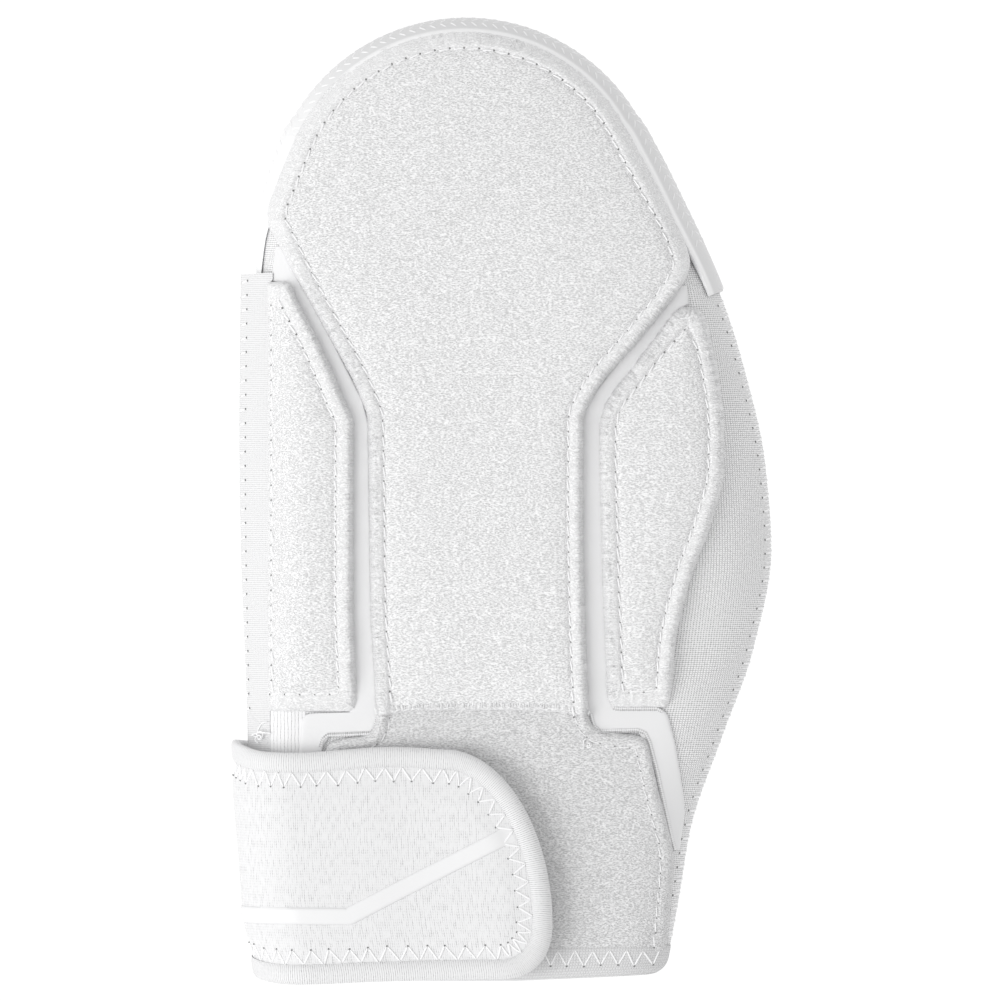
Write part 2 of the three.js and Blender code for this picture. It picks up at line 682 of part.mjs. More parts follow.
// Strap core between its two edges, wrapped from the back round the left side to the front
function wristStrap() {
  const inset = BINDING_WALL + BINDING_GAP;
  const upper = insetEdge(strapEdge(true), true, inset);
  const lower = insetEdge(strapEdge(false), false, inset);
  const grid = (offset) => upper.map((high, i) =>
    STRAP_SHARES.map((share) =>
      strapPoint(lerp(high.along, lower[i].along, share), lerp(high.y, lower[i].y, share), offset)));
  return plate(grid(STRAP_CORE / 2), grid(-STRAP_CORE / 2));
}

// Binding: a channel folded over the strap's edge, from the sewn end round the free end and back
function strapBinding() {
  const leg = STRAP_CORE / 2 + BINDING_GAP;
  const outside = [
    { inset: BINDING_WIDTH, offset: BINDING_OUT },
    { inset: BINDING_WALL, offset: BINDING_OUT },
    { inset: 0, offset: leg },
    { inset: 0, offset: -leg },
    { inset: BINDING_WALL, offset: -BINDING_OUT },
    { inset: BINDING_WIDTH, offset: -BINDING_OUT },
  ];
  const inside = outside.map(({ inset, offset }) => ({
    inset: Math.max(inset, BINDING_WALL),
    offset: clamp(offset, -leg, leg),
  }));
  const edges = { upper: strapEdge(true), lower: strapEdge(false) };
  const grid = (section) => section.map(({ inset, offset }) => {
    const upper = insetEdge(edges.upper, true, inset);
    const lower = insetEdge(edges.lower, false, inset).reverse().slice(1);
    return [...upper, ...lower].map(({ along, y }) => strapPoint(along, y, offset));
  });
  return plate(grid(outside), grid(inside));
}

// Film stripe on the strap: level from the turn, then rising to the free end
function strapStripe() {
  const offset = STRAP_CORE / 2 + BINDING_GAP;
  const path = [
    ...steps(-TURN_LENGTH / 2, 0, STRAP_STEPS.turn / 2).map((along) => ({ along, y: STRIPE.leftY })),
    { along: alongAt(STRIPE.bendX, STRIPE.leftY), y: STRIPE.leftY },
    ...steps(0, 1, STRIPE_STEPS).slice(1).map((share) => {
      const x = lerp(STRIPE.bendX, STRIPE.endX, share);
      const y = lerp(STRIPE.leftY, STRIPE.endY, share);
      return { along: alongAt(x, y), y };
    }),
  ];
  const line = (way) => insetEdge(path, true, (way * STRIPE.width) / 2).map((point, i) =>
    i === path.length - 1 ? { along: point.along, y: point.y - (way * STRIPE.width) / 2 } : point);
  const edges = [line(-1), path, line(1)];
  const grid = (lift) => path.map((_, i) =>
    edges.map((edge) => strapPoint(edge[i].along, edge[i].y, offset + lift)));
  return plate(grid(STRIPE.rise), grid(0));
}

// Columns across the flat layers, and the spacing of their rows
const FILM_SHARES = steps(0, 1, 3);
const FILM_SPACING = 6;
const PANEL_SHARES = easedShares(14);
const PANEL_SPACING = 8;

// The mitt, each piece with its finish
const PIECES = {
  front_panel: [frontPanel(), "knit"],
  back_panel: [backPanel(), "knit"],
  tip_guard: [tipGuard(), "rubber"],
  center_pad: [pad(CENTER_PAD, { arch: CENTER_ARCH, rowSteps: 18, columnSteps: 5, stops: 4 }), "terry"],
  left_pad: [pad(LEFT_PAD, { rowSteps: 12, columnSteps: 2, stops: 3 }), "terry"],
  right_pad: [pad(RIGHT_PAD, { rowSteps: 12, columnSteps: 2, stops: 3 }), "terry"],
  left_channel_film: [layer(LEFT_FILM, FILM, FILM_SHARES, FILM_SPACING), "film"],
  right_channel_film: [layer(RIGHT_FILM, FILM, FILM_SHARES, FILM_SPACING), "film"],
  left_edge_band: [leftEdgeBand(), "knit"],
  wrist_panel: [layer(WRIST_PANEL, PANEL_PILE, PANEL_SHARES, PANEL_SPACING), "pile"],
  wrist_binding: [wristBinding(), "knit"],
  wrist_strap: [wristStrap(), "strapKnit"],
  strap_binding: [strapBinding(), "strapKnit"],
  strap_stripe: [strapStripe(), "film"],
};

const mitt = new THREE.Group();
for (const [name, [geometry, finish]] of Object.entries(PIECES)) {
  const mesh = new THREE.Mesh(geometry, new THREE.MeshStandardMaterial(FINISHES[finish]));
  mesh.name = name;
  mitt.add(mesh);
}

export default mitt;
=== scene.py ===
"""The looks of a white sliding mitt, lying on its palm side with the fingertips towards +Y.

Sizes are in millimetres, and a mesh is turned into metres where its object is made.
"""

import bmesh
import bpy
import numpy as np
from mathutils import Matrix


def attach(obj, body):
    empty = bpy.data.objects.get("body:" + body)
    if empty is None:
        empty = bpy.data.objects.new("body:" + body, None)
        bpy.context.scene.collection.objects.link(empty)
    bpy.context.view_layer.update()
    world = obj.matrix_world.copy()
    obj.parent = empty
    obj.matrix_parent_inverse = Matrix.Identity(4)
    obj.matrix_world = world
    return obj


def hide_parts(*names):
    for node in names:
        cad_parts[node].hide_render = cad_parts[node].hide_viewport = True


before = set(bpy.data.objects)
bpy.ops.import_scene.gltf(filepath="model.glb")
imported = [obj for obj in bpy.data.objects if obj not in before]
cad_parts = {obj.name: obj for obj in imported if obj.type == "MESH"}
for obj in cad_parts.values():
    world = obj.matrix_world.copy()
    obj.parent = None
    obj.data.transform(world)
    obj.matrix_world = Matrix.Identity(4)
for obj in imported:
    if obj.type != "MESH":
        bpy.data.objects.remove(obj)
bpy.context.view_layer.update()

# Back panel
# The palm side of the pocket: neoprene faced in white knit, flat where the mitt lies on it.
# Its sides turn up to the seam, where it is overlocked to the front panel.
FORM = dict(zip(
    ("y", "left", "right", "base", "seam", "top", "round_left", "round_right"),
    np.array([
        (-132.3, -64.4, 46.4, 5, 17, 30, 14, 14),
        (-112, -67.2, 50.1, 5, 17, 31, 14, 15),
        (-92, -68.6, 53.5, 5, 17, 32, 13, 16),
        (-66, -69.2, 62.5, 5, 16, 33, 12, 18),
        (-42, -69.2, 71.1, 0, 14, 34, 12, 20),
        (-14, -69.2, 76.2, 0, 13.5, 35, 12, 21),
        (10, -69.1, 74.5, 0, 13.5, 35, 12, 20),
        (38, -68.6, 68.3, 0, 13.5, 34, 11, 16),
        (59, -68.2, 61.4, 1.2, 13.5, 33, 10, 12),
        (79, -67.2, 51.4, 2.4, 13.5, 31.5, 9, 9),
        (98, -61.2, 41.9, 2.4, 13, 29.5, 8, 8),
        (107.2, -55.75, 36.15, 2.4, 13, 28.5, 8, 8),
        (133.3, -9.8, -9.8, 2.4, 12.5, 26, 8, 8),
    ], float).T,
))
TIP_X, TIP_Y, TIP_RADIUS = -9.8, 79.7, 53.55
TIP_FROM = 107.2
WRIST = FORM["y"][0]
BACK_ROUND = 14
BACK_WALL = 3
SEAM_APART = 0.15
LINE_BELOW_WRIST = 20
WRIST_CORNER = 4.6
PANEL_STEP, PANEL_COLUMNS = 1.6, 110
KNIT_WHITE = (0.98, 0.98, 0.985)


def through(at, value, where):
    """Monotone cubic through a table: between two rows a Hermite cubic, whose slope at a row is the
    harmonic mean of the chords on both sides, or zero where they change sign."""
    at, value = np.asarray(at, float), np.asarray(value, float)
    chord = np.diff(value) / np.diff(at)
    product, total = chord[:-1] * chord[1:], chord[:-1] + chord[1:]
    bends = product > 0
    inner = np.where(bends, 2 * product / np.where(bends, total, 1), 0)
    slope = np.concatenate([chord[:1], inner, chord[-1:]])
    where = np.clip(where, at[0], at[-1])
    i = np.clip(np.searchsorted(at, where) - 1, 0, len(at) - 2)
    span = at[i + 1] - at[i]
    t = (where - at[i]) / span
    start = (1 + 2 * t) * (1 - t) ** 2 * value[i] + t * (1 - t) ** 2 * span * slope[i]
    end = t * t * (3 - 2 * t) * value[i + 1] + t * t * (t - 1) * span * slope[i + 1]
    return start + end


def form(column, y):
    """One column of the mitt's form at height y."""
    return through(FORM["y"], FORM[column], y)


def smooth(t):
    """Smoothstep of t, held between 0 and 1."""
    t = np.clip(t, 0, 1)
    return t * t * (3 - 2 * t)


def swell(t):
    """Rise of a quarter ellipse, from 0 at t = 0 to 1 at t = 1."""
    t = np.clip(t, 0, 1)
    return np.sqrt(t * (2 - t))


def circle_half(y, middle, radius):
    """Half the width of a circle at height y, by Pythagoras, and zero past the circle."""
    return np.sqrt(np.maximum(0, radius**2 - (y - middle) ** 2))


def side_seam(y):
    """Left and right x of the seam at height y: the table, and a circle round the fingertips."""
    half = circle_half(y, TIP_Y, TIP_RADIUS)
    left = np.where(y > TIP_FROM, TIP_X - half, form("left", y))
    right = np.where(y > TIP_FROM, TIP_X + half, form("right", y))
    return left, right


def half_seam(side, start, step):
    """One half of the seam, side -1 left or 1 right, from height start to the apex: even heights up the
    side, then even angles round the fingertips, about step apart."""
    foot = np.arcsin((TIP_FROM - TIP_Y) / TIP_RADIUS)
    side_y = np.linspace(start, TIP_FROM, round((TIP_FROM - start) / step), endpoint=False)
    turn = np.linspace(foot, np.pi / 2, round((np.pi / 2 - foot) * TIP_RADIUS / step) + 1)
    x = np.concatenate([side_seam(side_y)[side > 0], TIP_X + side * TIP_RADIUS * np.cos(turn)])
    y = np.concatenate([side_y, TIP_Y + TIP_RADIUS * np.sin(turn)])
    return np.stack([x, y], 1)


def unit(vectors):
    """Vectors divided by their lengths."""
    return vectors / np.maximum(np.linalg.norm(vectors, axis=-1, keepdims=True), 1e-9)


def left_of(line):
    """Unit normals of a plan line, on its left as it runs: its tangents turned a quarter turn."""
    tangent = unit(np.gradient(line, axis=0))
    return np.stack([-tangent[:, 1], tangent[:, 0]], 1)


def lengths(line):
    """Length along a line to each of its points."""
    return np.concatenate([[0], np.cumsum(np.linalg.norm(np.diff(line, axis=0), axis=1))])


def nearest(line, x, y):
    """Distance from each plan point to a line, and the length along it to the nearest spot: each piece of
    the line gives the point's projection on it, held to its ends, and the closest one counts."""
    spots = np.stack([np.ravel(x), np.ravel(y)], 1)
    start, step = line[:-1], np.diff(line, axis=0)
    size = np.maximum(np.linalg.norm(step, axis=1), 1e-9)
    along = lengths(line)
    found = []
    for part in np.array_split(spots, len(spots) * len(start) // 3_000_000 + 1):
        arm = part[:, None] - start
        t = np.clip((arm * step).sum(2) / size**2, 0, 1)
        apart = np.linalg.norm(arm - t[..., None] * step, axis=2)
        best = apart.argmin(1)
        each = np.arange(len(part))
        found.append(np.stack([apart[each, best], along[best] + t[each, best] * size[best]]))
    distance, place = np.concatenate(found, 1)
    return distance.reshape(np.shape(x)), place.reshape(np.shape(x))


SEAM_LINE = np.concatenate([
    half_seam(-1, WRIST - LINE_BELOW_WRIST, 2.5), half_seam(1, WRIST - LINE_BELOW_WRIST, 2.5)[::-1],
])


def seam_inset(x, y):
    """Distance in from the seam, negative outside it."""
    left, right = side_seam(y)
    inside = (y < TIP_Y + TIP_RADIUS) & (x > left) & (x < right)
    return np.where(inside, 1, -1) * nearest(SEAM_LINE, x, y)[0]


def back_height(x, y, inset, offset=0.0):
    """Height of the palm side's face moved out by offset: a quarter ellipse from the seam down."""
    drop = form("seam", y) - form("base", y) + offset
    return form("seam", y) - drop * swell((inset + offset) / (BACK_ROUND + offset))


def crowded(count):
    """Shares from 0 to 1 that crowd together at both ends: half of one less the cosine of even angles."""
    return (1 - np.cos(np.linspace(0, np.pi, count))) / 2


def wall_grid(height, side, offset):
    """Grid of a pocket wall moved out by offset: rungs from the left half of the seam to the right one,
    closer together at both ends, at the wall's height; side 1 is above the seam and -1 below. Its corners
    at the wrist are quarter circles."""
    left, right = (half_seam(way, WRIST, PANEL_STEP) for way in (-1, 1))
    out = [left_of(left), -left_of(right)]
    for normal in out:
        normal[0, 1] = 0
        normal[-1] = (0, 1)
    share = crowded(PANEL_COLUMNS)
    low = np.clip((WRIST + WRIST_CORNER - left[:, 1]) / WRIST_CORNER, 0, 1)
    cut = np.stack([WRIST_CORNER * (1 - np.sqrt(1 - low**2)), 0 * low], 1)
    start, end = left + offset * out[0] + cut, right + offset * out[1] - cut
    plan = start[:, None] + (end - start)[:, None] * share[None, :, None]
    x, y = plan[..., 0], plan[..., 1]
    inset = seam_inset(x, y)
    inset[:, [0, -1]] = inset[-1] = -offset
    z = height(x, y, inset, offset)
    seam = form("seam", y) + side * SEAM_APART
    return np.stack([x, y, np.maximum(z, seam) if side > 0 else np.minimum(z, seam)], -1)


def cells(rows, columns, start=0, loop_rows=False, loop_columns=False):
    """Quads of a grid of points whose first index is start; a loop joins its last line to its first."""
    index = start + np.arange(rows * columns).reshape(rows, columns)
    index = np.vstack([index, index[:1]]) if loop_rows else index
    index = np.hstack([index, index[:, :1]]) if loop_columns else index
    corners = [index[:-1, :-1], index[:-1, 1:], index[1:, 1:], index[1:, :-1]]
    return np.stack(corners, -1).reshape(-1, 4)


def plate(outer, inner):
    """Points and quads of a closed plate between two grids: both faces, and a rim round their edges."""
    rows, columns = outer.shape[:2]
    index = np.arange(rows * columns).reshape(rows, columns)
    rim = np.concatenate([index[0, :-1], index[:-1, -1], index[-1, :0:-1], index[:0:-1, 0]])
    after = np.roll(rim, -1)
    under = index.size
    faces = [
        cells(rows, columns),
        cells(rows, columns, under)[:, ::-1],
        np.stack([rim, rim + under, after + under, after], 1),
    ]
    return np.concatenate([outer.reshape(-1, 3), inner.reshape(-1, 3)]), np.concatenate(faces)


def cloth_map(grid):
    """Weave coordinates on a grid of points, in mm: length along each row from its middle, length down the
    middle column, and zero."""
    across = np.linalg.norm(np.diff(grid, axis=1), axis=2).cumsum(1)
    across = np.concatenate([np.zeros((len(grid), 1)), across], 1)
    middle = grid.shape[1] // 2
    down = lengths(grid[:, middle])[:, None] + np.zeros(across.shape)
    return np.stack([across - across[:, [middle]], down, np.zeros(across.shape)], -1)


def piece(name, points, faces, finish, slot, nodes=(), weave=None, painted_light=None, sharp=60):
    """A mesh object from points in mm and faces, its poles welded and its faces turned outwards. weave and
    the painted light and shade are kept on its points for the materials. It rides on the mitt and stands for
    the nodes."""
    mesh = bpy.data.meshes.new(name)
    mesh.from_pydata((np.asarray(points) / 1000).tolist(), [], [list(map(int, f)) for f in faces])
    if weave is not None:
        mesh.attributes.new("weave", "FLOAT_VECTOR", "POINT").data.foreach_set("vector", np.ravel(weave))
    if painted_light is not None:
        mesh.attributes.new("painted_light", "FLOAT", "POINT").data.foreach_set("value", np.ravel(painted_light))
    shell = bmesh.new()
    shell.from_mesh(mesh)
    bmesh.ops.remove_doubles(shell, verts=shell.verts, dist=2e-6)
    bmesh.ops.recalc_face_normals(shell, faces=shell.faces)
    shell.to_mesh(mesh)
    shell.free()
    mesh.shade_smooth()
    mesh.set_sharp_from_angle(angle=np.radians(sharp))
    mesh.materials.append(finish)
    made = bpy.data.objects.new(name, mesh)
    bpy.context.collection.objects.link(made)
    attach(made, "root")
    if nodes:
        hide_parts(*nodes)
    return made


def add(tree, kind, sockets, **settings):
    """A shader node with its settings. Each socket, by name or number, is linked if it is given another
    node's socket, and otherwise set. The result is the node's first output."""
    made = tree.nodes.new(kind)
    for key, value in settings.items():
        setattr(made, key, value)
    for key, value in sockets.items():
        if isinstance(value, bpy.types.NodeSocket):
            tree.links.new(value, made.inputs[key])
        else:
            made.inputs[key].default_value = value
    return made.outputs[0]


def calc(tree, operation, *values):
    """A Math node on numbers or sockets."""
    return add(tree, "ShaderNodeMath", dict(enumerate(values)), operation=operation)


def finish_of(name, colour, roughness, sheen=0.0, specular=0.3):
    """A material with a Principled shader; the result is the material, its node tree and the shader."""
    made = bpy.data.materials.new(name)
    made.use_nodes = True
    made.diffuse_color = (*colour, 1)
    shader = made.node_tree.nodes["Principled BSDF"]
    shader.inputs["Base Color"].default_value = (*colour, 1)
    shader.inputs["Roughness"].default_value = roughness
    shader.inputs["Sheen Weight"].default_value = sheen
    shader.inputs["Sheen Roughness"].default_value = 0.5
    shader.inputs["Specular IOR Level"].default_value = specular
    return made, made.node_tree, shader


def tinted(tree, shader, height, dark, colour):
    """Base colour from dark in the hollows of a height, 0 to 1, to the full colour on its tops: painted shade
    in the hollows.
    """
    tint = add(tree, "ShaderNodeMix", {0: height, 6: (*(dark * c for c in colour), 1), 7: (*colour, 1)},
               data_type="RGBA")
    tree.links.new(tint.node.outputs[2], shader.inputs["Base Color"])


def raised(tree, shader, height, depth):
    """Bump of a height, 0 to 1, whose depth is in mm."""
    bump = add(tree, "ShaderNodeBump", {"Strength": 1.0, "Distance": depth / 1000, "Height": height})
    tree.links.new(bump, shader.inputs["Normal"])


def kept_value(tree, name, output):
    """A value that a piece keeps on its points: its Vector, or as Fac its number."""
    return add(tree, "ShaderNodeAttribute", {}, attribute_name=name).node.outputs[output]


def knit(name, colour, wale, course, depth, dark, slant=0.35, gap=0.6, ribs=0.85, fuzz=0.4, stretch=1.0):
    """Weft knit: wales of that pitch side by side, each a row of V stitches of the course pitch. Its height
    is the sine of the place across a wale, to the power gap, times a wave along it, which slants out from the
    wale's middle and has the share ribs. Fuzz is noise, drawn out along the wales by stretch. Its colour is
    darker in the hollows of that height, down to dark: painted shade between the stitches."""
    made, tree, shader = finish_of(name, colour, 0.92, sheen=0.25)
    where = kept_value(tree, "weave", "Vector")
    split = add(tree, "ShaderNodeSeparateXYZ", {0: where}).node
    wander = add(tree, "ShaderNodeTexNoise", {"Vector": where, "Scale": 0.35, "Detail": 2.0})
    drift = calc(tree, "MULTIPLY", wander, 0.6)
    across = calc(tree, "ADD", calc(tree, "DIVIDE", split.outputs[0], wale), drift)
    down = calc(tree, "DIVIDE", split.outputs[1], course)
    column = calc(tree, "ABSOLUTE", calc(tree, "SINE", calc(tree, "MULTIPLY", across, np.pi)))
    lean = calc(tree, "MULTIPLY", calc(tree, "PINGPONG", across, 0.5), 2 * slant)
    turn = calc(tree, "MULTIPLY", calc(tree, "ADD", down, lean), 2 * np.pi)
    row = calc(tree, "MULTIPLY_ADD", calc(tree, "SINE", turn), 0.5, 0.5)
    wave = calc(tree, "MULTIPLY_ADD", row, ribs, 1 - ribs)
    stitch = calc(tree, "MULTIPLY", calc(tree, "POWER", column, gap), wave)
    drawn = add(tree, "ShaderNodeMapping", {"Vector": where, "Scale": (1.0, 1 / stretch, 1.0)})
    noise = add(tree, "ShaderNodeTexNoise", {"Vector": drawn, "Scale": 1.6, "Detail": 3.0})
    rough = calc(tree, "MULTIPLY_ADD", noise, fuzz, calc(tree, "MULTIPLY", stitch, 0.75))
    height = add(tree, "ShaderNodeMapRange", {0: rough, 1: fuzz / 2, 2: fuzz / 2 + 0.35})
    tinted(tree, shader, height, dark, colour)
    raised(tree, shader, height, depth)
    return made


def wall_panel(name, node, height, side, wall, finish):
    """A pocket wall as a stretched sheet: a plate between its face and the same face moved in by the wall."""
    outer, inner = (wall_grid(height, side, offset) for offset in (0, -wall))
    weave = np.concatenate([cloth_map(grid).reshape(-1, 3) for grid in (outer, inner)])
    made = piece(name, *plate(outer, inner), finish, "knit", [node], weave)


side_knit = knit("side_knit", KNIT_WHITE, wale=0.83, course=0.56, depth=0.1, dark=0.42)
wall_panel("back_panel_cloth", "back_panel", back_height, -1, BACK_WALL, side_knit)

# Front panel
# The shown side of the pocket: the same neoprene, domed over the back of the hand and rounded down to
# the seam, gently on the left and in a wide slope over the side of the hand on the right.
FRONT_WALL = 2.5
CROWN_FALL, CROWN_WIDTH = 4, 50
ROUND_FROM, ROUND_TO = 0.3, 0.7


def front_height(x, y, inset, offset=0.0, round_left=None):
    """Height of the shown side's face moved out by offset: a quarter ellipse from the seam up, whose width
    goes from the left rounding to the right one, below a crown that falls off towards the seam."""
    left, right = side_seam(y)
    across = (x - left) / np.maximum(1, right - left)
    blend = smooth((across - ROUND_FROM) / (ROUND_TO - ROUND_FROM))
    width = (round_left or form("round_left", y)) * (1 - blend) + form("round_right", y) * blend
    crown = form("top", y) - CROWN_FALL * np.clip(1 - inset / CROWN_WIDTH, 0, 1) ** 2
    rise = crown - form("seam", y) + offset
    return form("seam", y) + rise * swell((inset + offset) / (width + offset))


def on_front(x, y, offset):
    """Points over plan places, offset above the shown side."""
    return np.stack([x, y, front_height(x, y, seam_inset(x, y), offset)], -1)


wall_panel("front_panel_cloth", "front_panel", front_height, 1, FRONT_WALL, side_knit)

# Channel films
# Smooth white film heat-bonded in the channels between the pads. At the wrist each strip turns out into
# a tab, and the right one runs on down to a point.
FILM_SEAT, FILM_THICK = 0.25, 0.8
FILM_STEP, FILM_COLUMNS = 0.5, 16
FILM_TUCK = 0.7
FILM_WHITE = (0.81, 0.81, 0.815)
LEFT_FILM = np.array([
    (71, -62.4, -62.2), (61.5, -63.6, -57.3), (61, -60.9, -57), (56.4, -58.3, -54.3), (44.7, -52, -47.9),
    (28, -44.3, -39.4), (21.5, -41.6, -37.6), (-28, -41.7, -36.9), (-56, -40.8, -35.3), (-59.4, -41.6, -35),
    (-59.7, -52.6, -35), (-60.2, -54, -35), (-61.4, -55, -35.2), (-64.6, -55.2, -36.4), (-65.1, -55.2, -47.8),
    (-68.7, -55.4, -50.2), (-81.3, -57.4, -53.2), (-97, -58, -55.4),
])
RIGHT_FILM = np.array([
    (60, 50.8, 51.6), (54.8, 46.6, 52), (54.1, 46, 50.6), (47.5, 40.7, 45.1), (37.4, 32.6, 37.3),
    (26, 24.1, 29), (19.5, 22.8, 27.4), (-5.7, 22.8, 27.8), (-28, 23.1, 28.4), (-55, 24.2, 29.6),
    (-58.2, 24.4, 31), (-58.7, 24.5, 44.2), (-59.3, 24.6, 45.4), (-60.4, 24.8, 46.2), (-62.2, 25.2, 46.7),
    (-64.3, 26.6, 47.2), (-64.9, 39.2, 47.4),
    (-68.7, 41.5, 48.3), (-81.3, 45.5, 50.4), (-87, 47, 51), (-98, 49, 49.6),
])


def film(name, rows, finish, node):
    """A film strip from rows of (y, left, right), tucked a little under its neighbours: straight edges,
    rounded over at the rim."""
    steps = np.maximum(1, np.ceil(-np.diff(rows[:, 0]) / FILM_STEP)).astype(int)
    y = np.concatenate([np.linspace(a, b, n, endpoint=False)
                        for a, b, n in zip(rows[:-1, 0], rows[1:, 0], steps)] + [rows[-1:, 0]])
    left, right = (np.interp(-y, -rows[:, 0], rows[:, k]) + way * FILM_TUCK for k, way in ((1, -1), (2, 1)))
    share = crowded(FILM_COLUMNS)
    x = left[:, None] + (right - left)[:, None] * share
    y = y[:, None] + np.zeros(x.shape)
    edge = np.minimum(x - left[:, None], right[:, None] - x)
    top = on_front(x, y, FILM_SEAT + FILM_THICK * (0.35 + 0.65 * swell(edge / 0.5)))
    return piece(name, *plate(top, on_front(x, y, FILM_SEAT)), finish, "film", [node])


def object_place(tree):
    """Object coordinates, in metres."""
    return tree.nodes.new("ShaderNodeTexCoord").outputs["Object"]


def rippled(tree, shader, scale, depth):
    """Bump of noise on Object coordinates, whose scale is in cells per metre and its depth in mm."""
    noise = add(tree, "ShaderNodeTexNoise", {"Vector": object_place(tree), "Scale": scale, "Detail": 2.0})
    raised(tree, shader, noise, depth)


film_white, tree, shader = finish_of("film_white", FILM_WHITE, 0.42, specular=0.4)
rippled(tree, shader, 260.0, 0.06)
film("left_film_strip", LEFT_FILM, film_white, "left_channel_film")
film("right_film_strip", RIGHT_FILM, film_white, "right_channel_film")

# Pads
# Foam faced in brushed white terry. Each pad's edge is turned under into a round border, a line of
# lockstitch lies in the valley inside it, and the field beyond swells up.
PAD_SEAT = 0.2
PAD_ROLL, FOOT_DROP, FOOT_RAMP = 1.6, 0.62, 11
ARCH_FROM, ARCH_DROP = 62, 0.34
PAD_PROFILE = np.array([(0, 4.4), (1.8, 4.7), (3.2, 4.4), (4, 3.7), (5, 4.3), (9, 4.9), (16, 5.2)]).T
PAD_EDGE = np.array([0, 0.03, 0.12, 0.28, 0.5, 0.8, 1.15, 1.55, 2.0, 2.6, 3.2])
PAD_FULL_WIDTH = 2.6
PLAIN_EDGE, FOOT_EDGE, PLAIN_RAMP = 2.4, 3.1, 12
FOOT_BOW, FOOT_BOW_REACH = 2.0, 14
NO_FOOT = -199
BAND_SEAM_X, BAND_SEAM_TOP, BAND_SEAM_END = -63.9, 55, -58
PAD_STITCH, PAD_THREAD, PAD_HOLE = 4.0, 0.24, 0.32
CENTER_STITCH = np.array([(-60, 4.3), (50, 4.3), (90, 5.7), (132, 5.9)]).T
LEFT_STITCH = np.array([(-60, 5.0), (60, 5.0)]).T
RIGHT_STITCH = np.array([(-60, 4.5), (40, 4.5), (54, 6.2)]).T
TERRY_WHITE, THREAD_WHITE, HOLE_SHADE = (0.97, 0.97, 0.975), (0.95, 0.95, 0.955), (0.2, 0.2, 0.2)
NAP_POINTS = 18
CENTER_ROLL = np.array([(55, PAD_ROLL), (70, 0.6), (132, 0.6)]).T
SIDE_ROLL = np.array([(-60, PAD_ROLL), (60, PAD_ROLL)]).T
CENTER_ARCH = {"x": -10.2, "y": 80.1, "from": 100.8, "radius": 52.3}
CENTER_PAD = np.array([
    (100.8, -58.2, 37.8), (90, -62.5, 43.8), (80, -65.5, 49), (77.6, -65.3, 50.1), (72.5, -62.7, 51.9),
    (66.5, -59.5, 53.2), (63, -57.6, 52.4), (59.5, -55.6, 50.4), (46.3, -48.2, 40.1), (29, -39.3, 26),
    (22, -37.1, 23.2), (0, -36.7, 23.1), (-28, -36.4, 23.5), (-59, -34.6, 24.6),
])
LEFT_PAD = np.array([
    (61.2, -65.3, -60.4), (60, -65.4, -58.6), (56.4, -65.4, -57), (44.7, -65.4, -50.9), (28, -65.4, -43.6),
    (21.5, -65.4, -41.1), (-28, -65.4, -41.2), (-56, -65.2, -40.4), (-59.2, -65, -41.6),
])
RIGHT_PAD = np.array([
    (54, 50.8, 54.2), (53, 49.2, 56), (51.2, 47.4, 57.3), (47.5, 44.8, 58.3), (37.4, 37.1, 60.6),
    (25.5, 28.8, 62.3), (19.5, 27.7, 62.7), (8.3, 27.7, 62.5), (-5.7, 28.1, 59.2), (-22.5, 28.5, 53.1),
    (-39.3, 29.2, 49.1), (-55, 29.9, 47.6), (-58.1, 31.2, 46.2),
])


def grain(x, y, cell, seed):
    """Value noise from -1 to 1: random heights on a square lattice of that cell, blended by smoothstep."""
    lattice = np.random.default_rng(seed).uniform(-1, 1, (256, 256))
    i, j = np.floor(x / cell).astype(int), np.floor(y / cell).astype(int)
    s, t = smooth(x / cell - i), smooth(y / cell - j)
    low = lattice[i % 256, j % 256] * (1 - s) + lattice[(i + 1) % 256, j % 256] * s
    high = lattice[i % 256, (j + 1) % 256] * (1 - s) + lattice[(i + 1) % 256, (j + 1) % 256] * s
    return low * (1 - t) + high * t


def stops(span, edge, inner):
    """Places across each span: the edge's insets from one end, even steps, and the same insets from the
    other end, squeezed together where the span is narrow."""
    span = np.atleast_1d(np.asarray(span, float))[:, None]
    near = edge * np.minimum(1, span / (PAD_FULL_WIDTH * edge[-1]))
    middle = near[:, -1:] + (span - 2 * near[:, -1:]) * np.linspace(0, 1, inner + 2)[1:-1]
    return np.concatenate([near, middle, span - near[:, ::-1]], 1)


def pad_height(inset, edge, y, roll, foot):
    """Height of a pad above its seat: a quarter ellipse up the rolled edge, as wide as the roll's table gives
    at that height, times the border, valley and field of the profile, and lower towards the foot and next
    to the guard round the arch."""
    low = 1 - FOOT_DROP * (1 - smooth((y - foot) / FOOT_RAMP))
    low = low - ARCH_DROP * smooth((y - ARCH_FROM) / 14) * (1 - smooth(edge / 5))
    return swell(edge / through(*roll, y)) * through(*PAD_PROFILE, inset) * low


def pad_rows(rows, arch, count):
    """Heights of a pad's rows, from its top down: even angles round its arch where it has one, and about
    count even rows that crowd together at an edge."""
    low = rows[-1, 0]
    if not arch:
        return rows[0, 0] - stops(rows[0, 0] - low, PAD_EDGE, count)[0]
    foot = np.arcsin((arch["from"] - arch["y"]) / arch["radius"])
    angle = np.linspace(np.pi / 2, foot, round(count * 0.2), endpoint=False)
    below = arch["from"] - stops(arch["from"] - low, PAD_EDGE, count)[0, len(PAD_EDGE):]
    return np.concatenate([arch["y"] + arch["radius"] * np.sin(angle), below])


